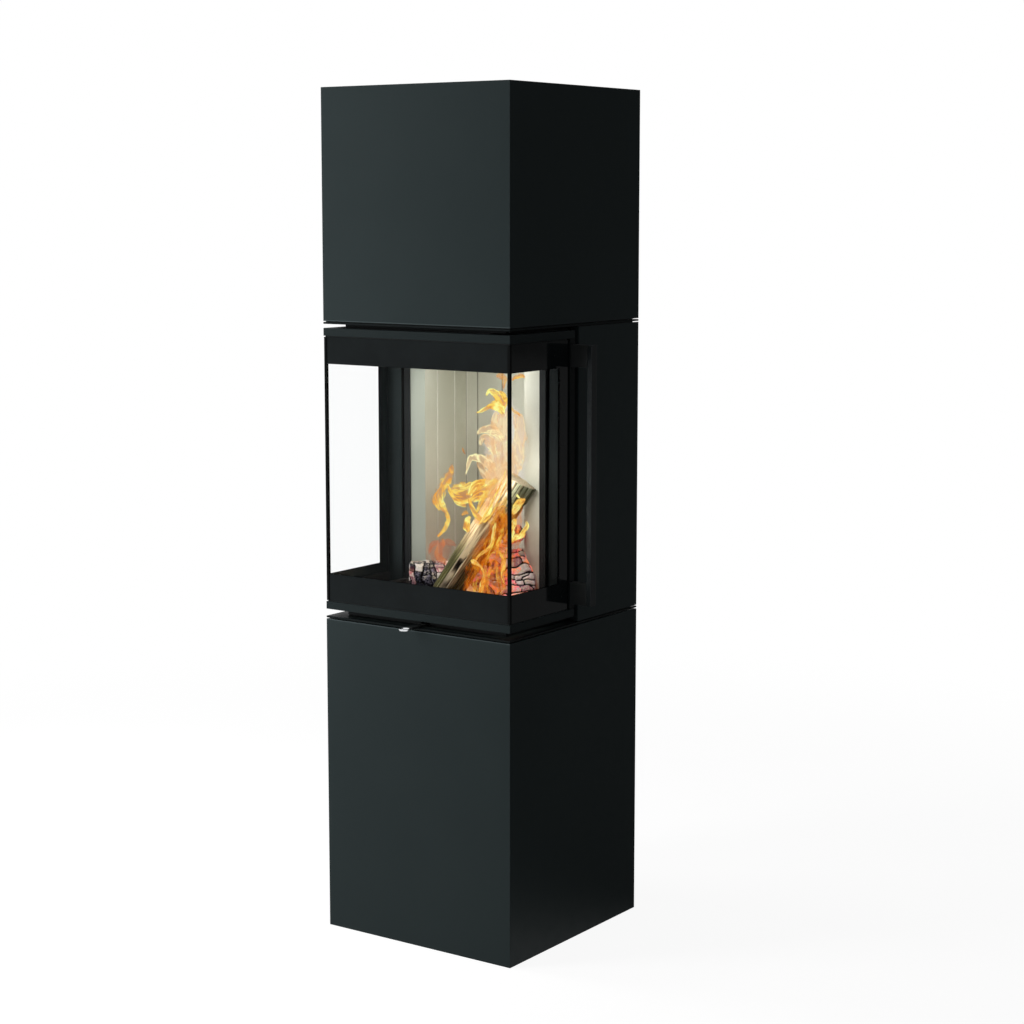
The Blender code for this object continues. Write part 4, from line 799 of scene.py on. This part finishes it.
TONGUES = (
    (0, 0.80, ((213, 972, 6), (235, 948, 10), (262, 915, 14), (278, 875, 13), (276, 838, 13), (262, 812, 14),
               (244, 784, 20))),
    (4, 0.80, ((250, 815, 16), (236, 785, 32), (226, 745, 36), (238, 700, 33), (258, 660, 33),
               (276, 625, 28), (292, 590, 18), (300, 560, 10), (303, 540, 3))),
    (10, 1, ((272, 655, 4), (284, 685, 9), (300, 722, 12), (328, 758, 15), (362, 780, 16), (392, 785, 10))),
    (8, 0.85, ((285, 705, 10), (318, 700, 34), (352, 706, 54), (388, 708, 58), (420, 694, 44),
               (456, 676, 30), (500, 652, 20), (540, 634, 7))),
    (16, 1.1, ((404, 735, 8), (420, 702, 20), (440, 672, 24), (470, 655, 20), (510, 648, 14), (540, 655, 5))),
    (40, 0.9, ((420, 770, 14), (446, 735, 32), (476, 705, 40), (508, 682, 34), (545, 655, 20), (575, 620, 7))),
    (46, 1.15, ((398, 735, 6), (412, 775, 12), (432, 820, 14), (455, 858, 15), (485, 868, 17),
                (510, 838, 14), (524, 800, 11), (532, 760, 8), (528, 720, 3))),
    (54, 0.5, ((448, 905, 14), (466, 850, 30), (490, 790, 38), (514, 730, 34), (540, 672, 24),
               (566, 618, 10))),
    (57, 1.0, ((452, 905, 3), (486, 858, 6), (520, 796, 6), (548, 740, 5), (580, 676, 5), (608, 606, 3),
               (614, 572, 2))),
    (58, 0.72, ((500, 884, 3), (530, 838, 6), (566, 800, 6), (600, 790, 5), (628, 808, 3))),
    (57, 0.70, ((540, 836, 3), (556, 788, 5), (584, 730, 5), (606, 680, 4), (622, 636, 2))),
    (56, 0.45, ((520, 905, 12), (548, 850, 22), (576, 806, 24), (602, 770, 16), (622, 730, 6))),
    (48, 0.9, ((440, 835, 5), (462, 790, 10), (478, 750, 12), (500, 715, 9), (520, 690, 3))),
    (30, 1.1, ((402, 945, 5), (386, 915, 18), (384, 885, 20), (398, 862, 14), (412, 850, 4))),
    (4, 1.1, ((604, 262, 8), (592, 228, 24), (562, 206, 26), (524, 206, 18), (492, 226, 12), (464, 242, 8),
              (438, 248, 3))),
    (0, 1, ((588, 215, 18), (578, 178, 34), (556, 145, 26), (524, 124, 16), (506, 136, 9), (498, 154, 3))),
    (2, 0.9, ((596, 240, 10), (612, 196, 16), (606, 158, 16), (590, 132, 10), (575, 116, 3))),
    (2, 0.55, ((556, 36, 4), (580, 34, 16), (608, 46, 16), (604, 80, 9), (600, 118, 3))),
    (2, 0.85, ((648, 62, 4), (664, 42, 10), (690, 34, 14), (714, 36, 9), (726, 48, 3))),
    (34, 1, ((652, 842, 10), (672, 806, 24), (694, 776, 26), (716, 758, 15), (730, 750, 4))),
    (36, 1, ((640, 760, 5), (650, 724, 11), (662, 706, 11), (682, 728, 8), (700, 748, 3))),
    (36, 1, ((652, 990, 7), (672, 972, 15), (700, 970, 15), (722, 940, 14), (738, 905, 10), (728, 872, 4))),
    (34, 0.95, ((646, 1010, 10), (644, 960, 18), (650, 915, 20), (664, 880, 14), (676, 862, 5))),
    (44, 1.15, ((462, 1300, 8), (472, 1262, 13), (484, 1222, 13), (488, 1185, 9), (474, 1150, 6),
                (450, 1128, 8), (424, 1112, 12), (410, 1096, 3))),
    (46, 1, ((436, 1112, 5), (462, 1072, 9), (500, 1048, 10), (532, 1010, 9), (540, 960, 9), (548, 915, 8),
             (560, 872, 4))),
    (44, 0.8, ((606, 1250, 4), (594, 1190, 9), (604, 1130, 9), (590, 1080, 8), (566, 1040, 7),
               (572, 990, 7), (592, 955, 3))),
    (8, 0.6, ((398, 836, 4), (384, 826, 11), (370, 832, 10), (358, 846, 3))),
    (-6, 0.55, ((362, 448, 2), (370, 470, 6), (382, 492, 2))),
    (20, 0.75, ((640, 214, 4), (660, 238, 9), (684, 252, 9), (700, 272, 3))),
)
BODY = (
    (38, 0.75, ((505, 1330, 112), (508, 1240, 118), (515, 1150, 112), (540, 1060, 92), (566, 975, 74),
                (582, 900, 56), (575, 830, 44), (560, 780, 22))),
    (42, 0.85, ((430, 1310, 30), (420, 1240, 42), (430, 1170, 40), (462, 1105, 34), (500, 1040, 30),
                (520, 970, 20), (530, 910, 8))),
    (46, 0.9, ((500, 1310, 24), (488, 1230, 30), (500, 1150, 34), (530, 1070, 36), (552, 990, 32),
               (560, 920, 26), (566, 850, 16), (570, 790, 5))),
    (40, 0.9, ((600, 1300, 20), (588, 1200, 26), (590, 1100, 30), (598, 1010, 30), (604, 930, 28),
               (600, 860, 22), (592, 800, 8))),
    (32, 0.70, ((662, 1150, 12), (664, 1080, 22), (668, 1000, 30), (672, 920, 34), (676, 850, 36),
                (690, 790, 22), (712, 756, 6))),
)
WISPS = (
    (-10, 0.8, ((540, 800, 34), (548, 730, 62), (556, 650, 78), (566, 570, 70), (568, 490, 62),
                (572, 410, 56), (584, 330, 44), (596, 260, 30), (600, 210, 10))),
    (40, 0.6, ((520, 850, 24), (545, 780, 46), (560, 700, 60), (572, 620, 60), (580, 540, 44),
               (586, 480, 16))),
    (2, 0.75, ((660, 640, 20), (668, 560, 38), (682, 480, 48), (692, 400, 46), (696, 330, 36),
               (684, 270, 24), (664, 226, 7))),
    (4, 0.95, ((600, 420, 10), (572, 372, 26), (530, 346, 24), (490, 346, 18), (462, 358, 12), (446, 378, 3))),
    (6, 0.9, ((560, 500, 14), (540, 440, 28), (508, 396, 26), (484, 392, 18), (472, 416, 12), (468, 446, 3))),
    (8, 1, ((560, 600, 20), (520, 556, 28), (478, 524, 28), (436, 506, 20), (408, 514, 14), (394, 552, 10),
            (384, 590, 6), (378, 616, 2))),
    (10, 0.8, ((520, 650, 16), (492, 610, 24), (470, 570, 20), (456, 536, 10), (450, 512, 3))),
    (2, 0.8, ((560, 360, 8), (540, 312, 18), (548, 272, 16), (566, 240, 6))),
    (52, 0.55, ((520, 800, 14), (548, 740, 30), (580, 680, 36), (606, 620, 28), (616, 560, 12))),
)
HAZES = (
    (-52, 0.42, ((205, 1122, 10), (216, 1086, 42), (236, 1046, 60), (252, 1012, 50), (262, 984, 16))),
    (-50, 0.6, ((172, 1074, 5), (178, 1036, 15), (200, 1008, 18), (232, 1000, 8))),
    (-49, 0.55, ((240, 1020, 6), (268, 1000, 18), (300, 1004, 17), (330, 1024, 5))),
    (-46, 0.8, ((276, 1124, 12), (240, 1100, 24), (222, 1062, 20), (238, 1022, 18), (250, 996, 10), (244, 968, 3))),
)
VEILS = (
    (-30, 0.75, ((600, 820, 60), (612, 700, 110), (620, 580, 124), (624, 460, 122), (626, 340, 104),
                (618, 230, 76), (610, 140, 40))),
)


def smooth_path(points):
    """Evenly stepped places along a Catmull-Rom curve through the points."""
    knots = [Vector(point) for point in points]
    knots = [2 * knots[0] - knots[1]] + knots + [2 * knots[-1] - knots[-2]]
    spans = len(points) - 1
    path = []
    for i in range(RIBBON_STEPS + 1):
        place = spans * i / RIBBON_STEPS
        span = min(int(place), spans - 1)
        t = place - span
        a, b, c, d = knots[span:span + 4]
        square = (2 * a - 5 * b + 4 * c - d) * t ** 2
        cube = (3 * b - a - 3 * c + d) * t ** 3
        path.append((2 * b + (c - a) * t + square + cube) / 2)
    return path


def fire_place(x, y, depth):
    """Millimetres to the right and up where a point of the fire shows at its place in the photograph."""
    column = FIRE_COLUMN + x / FIRE_ZOOM
    line = FIRE_LINE + y / FIRE_ZOOM
    field = SENSOR / CAMERA_LENS
    ray = CAMERA_TURN @ Vector((
        field * (column / PICTURE - 0.5), field * (0.5 - line / PICTURE + CAMERA_SHIFT_Y), -1,
    ))
    start = Vector(CAMERA_PLACE) - FLAME_ORIGIN
    place = start + ray * ((depth * MM - start.dot(FLAME_NEAR)) / ray.dot(FLAME_NEAR))
    return place.dot(FLAME_RIGHT) / MM, place.z / MM


def add_ribbon(parts, ribbon, seed):
    """Adds one bowed ribbon to the lists of places, faces and values."""
    depth, power, points = ribbon
    verts, faces, sides, along, powers, flows = parts
    path = smooth_path([(*fire_place(x, y, depth), FIRE_PIXEL * half) for x, y, half in points])
    base = len(verts)
    length = 0
    for i, point in enumerate(path):
        before = path[max(i - 1, 0)]
        after = path[min(i + 1, RIBBON_STEPS)]
        run = Vector((after.x - before.x, after.y - before.y)).normalized()
        length += Vector((point.x - before.x, point.y - before.y)).length
        half = WIDTH_SHARE * point.z
        for j in range(RIBBON_COLUMNS + 1):
            side = 2 * j / RIBBON_COLUMNS - 1
            bow = RIBBON_BOW * half * (1 - side * side)
            x = point.x + run.y * side * half
            z = point.y - run.x * side * half
            out = depth + bow + RIBBON_SWAY * math.sin(RIBBON_WAVE * z + depth)
            verts.append(FLAME_ORIGIN + (FLAME_RIGHT * x + FLAME_NEAR * out + Vector((0, 0, z))) * MM)
            sides.append(side)
            along.append(i / RIBBON_STEPS)
            powers.append(power)
            flows.extend((side * half, length, FLOW_SHIFT * seed))
    row = RIBBON_COLUMNS + 1
    for i in range(RIBBON_STEPS):
        for j in range(RIBBON_COLUMNS):
            first = base + i * row + j
            faces.append((first, first + 1, first + row + 1, first + row))


def make_flames(name, finish, ribbons):
    """One piece with all ribbons of a kind, riding on the fixed body."""
    parts = ([], [], [], [], [], [])
    for seed, ribbon in enumerate(ribbons):
        add_ribbon(parts, ribbon, seed)
    verts, faces, sides, along, powers, flows = parts
    mesh = bpy.data.meshes.new(name)
    mesh.from_pydata(verts, [], faces)
    store(mesh, "side", sides)
    store(mesh, "along", along)
    store(mesh, "power", powers)
    mesh.attributes.new("flow", "FLOAT_VECTOR", "POINT").data.foreach_set("vector", flows)
    for polygon in mesh.polygons:
        polygon.use_smooth = True
    mesh.materials.append(finish)
    piece = bpy.data.objects.new(name, mesh)
    bpy.context.scene.collection.objects.link(piece)
    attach(piece, FIXED_BODY)


# For each kind of flame: its finish, its tones from dim to bright, its density, the strength of its rim and of its
# strands, how fine its grain is, and its ribbons. Bright tongues, the body of the fire, pale wisps above it, a red
# haze low down and a pale veil behind.

FLAMES = {
    "flame_tongues": (
        "tongue_finish", ((0.70, 0.19, 0.025), (0.86, 0.38, 0.06), (0.95, 0.66, 0.13), (0.99, 0.96, 0.32)),
        1.5, 1.0, 0.7, 0.55, TONGUES,
    ),
    "flame_body": (
        "body_finish", ((0.20, 0.016, 0.002), (0.56, 0.085, 0.004), (0.88, 0.26, 0.012), (0.98, 0.72, 0.10)),
        0.68, 0.5, 0.85, 0.5, BODY,
    ),
    "flame_wisps": (
        "wisp_finish", ((0.86, 0.42, 0.17), (0.90, 0.55, 0.26), (0.95, 0.73, 0.40), (1.0, 0.95, 0.52)),
        1.25, 1.0, 0.65, 0.35, WISPS,
    ),
    "flame_haze": (
        "haze_finish", ((0.50, 0.06, 0.012), (0.62, 0.13, 0.025), (0.78, 0.26, 0.06), (0.92, 0.48, 0.15)),
        0.95, 0.2, 0.5, 0.4, HAZES,
    ),
    "flame_veil": (
        "veil_finish", ((0.97, 0.85, 0.74), (0.98, 0.88, 0.80), (1.0, 0.92, 0.84), (1.0, 0.96, 0.90)),
        0.95, 0.2, 0.4, 0.5, VEILS,
    ),
}


def make_fire():
    for name, (*look, ribbons) in FLAMES.items():
        make_flames(name, flame(*look), ribbons)


# The studio. The floor glows white to the eye; near the object, within SHADOW_REACH, it also takes light and shadow.

FLOOR_HALF = 12
FLOOR_NEAR_GLOW = 0.92
SHADOW_REACH = (0.9, 2.6)


def make_floor():
    """A pale floor that reads white and still takes the object's shadow near it."""
    g = Graph("floor_finish")
    colour = g.mix(g.noise(6, 4), (0.18, 0.18, 0.18), (0.21, 0.21, 0.21))
    surface = g.principled(Base_Color=colour, Roughness=0.9, Specular_IOR_Level=0.0)
    distance = g.add("ShaderNodeVectorMath", operation="LENGTH")
    g.feed(distance.inputs[0], g.place)
    far = g.spread(distance.outputs["Value"], *SHADOW_REACH)
    straight, glossy = g.rays()
    mirrored = g.spread(g.towards(DARK_SIDE), *FLOOR_EDGE, 1, DARK_MIRRORED)
    seen = g.math("MAXIMUM", straight, g.math("MULTIPLY", glossy, mirrored))
    glow = g.glow((1, 1, 1), g.math("MULTIPLY", seen, FLOOR_NEAR_GLOW))
    near = g.add("ShaderNodeAddShader")
    g.tree.links.new(surface, near.inputs[0])
    g.tree.links.new(glow, near.inputs[1])
    white = g.glow((1, 1, 1), 1.0)
    share = g.math("MULTIPLY", far, seen)
    bpy.ops.mesh.primitive_plane_add(size=2 * FLOOR_HALF, location=(0, 0, 0))
    floor = bpy.context.object
    floor.name = "floor"
    floor.data.materials.append(g.finish(g.blend(share, near.outputs[0], white)))


def make_world():
    """White to the eye, in mirrors and through glass, less so towards the dark screen; soft for the rest."""
    g = Graph("studio", world=True)
    turned = g.towards(DARK_SIDE)
    straight, glossy = g.rays()
    soft = g.math("MULTIPLY", g.spread(turned, -0.7, 0.35, 1, 0.85), AMBIENT)
    mirrored = g.spread(turned, *SKY_EDGE, 1, DARK_MIRRORED)
    lit = g.blend(glossy, g.background(soft), g.background(mirrored))
    bpy.context.scene.world = g.finish(g.blend(straight, lit, g.background(1.0)))


def add_lamp(name, place, target, size, power, colour=(1, 1, 1)):
    """A soft rectangular lamp that mirrors and the camera don't show."""
    lamp = bpy.data.lights.new(name, "AREA")
    lamp.shape = "RECTANGLE"
    lamp.size = size[0]
    lamp.size_y = size[1]
    lamp.energy = power
    lamp.color = colour
    thing = bpy.data.objects.new(name, lamp)
    thing.location = place
    thing.rotation_mode = "QUATERNION"
    thing.rotation_quaternion = (Vector(target) - Vector(place)).to_track_quat("-Z", "Y")
    thing.visible_glossy = False
    thing.visible_camera = False
    bpy.context.scene.collection.objects.link(thing)


def make_lamps():
    """Two soft boxes at the left, one in the chamber's roof, and the light of the fire on its logs."""
    add_lamp("key_lamp", (-0.95, -1.30, 1.15), (0, 0, 1.0), (0.5, 2.2), 17)
    add_lamp("side_lamp", (-1.9, -0.5, 1.1), (0, 0, 0.85), (0.8, 1.2), 18)
    add_lamp("chamber_lamp", (0.015, -0.11, 1.025), (0.01, 0.02, 0.75), (0.22, 0.10), 0.37, (1.0, 0.98, 0.93))
    add_lamp("log_lamp", (0.170, -0.165, 0.86), (0.120, -0.06, 0.69), (0.05, 0.08), 0.21, (1.0, 0.97, 0.92))
    add_lamp("fire_lamp", (0.10, -0.165, 0.83), (0.06, -0.06, 0.66), (0.06, 0.10), 0.22, (1.0, 0.86, 0.72))


def make_camera():
    """The camera of the photograph, pitched a little in place of most of its shift."""
    camera = bpy.data.cameras.new("photo_camera")
    camera.lens = CAMERA_LENS
    camera.sensor_width = SENSOR
    camera.shift_y = CAMERA_SHIFT_Y
    eye = bpy.data.objects.new("photo_camera", camera)
    eye.location = CAMERA_PLACE
    eye.rotation_euler = CAMERA_TURN.to_euler()
    bpy.context.scene.collection.objects.link(eye)
    bpy.context.scene.camera = eye


bpy.context.scene.view_settings.view_transform = "Standard"
dress_nodes()
make_fire_bed()
make_fire()
make_floor()
make_world()
make_lamps()
make_camera()
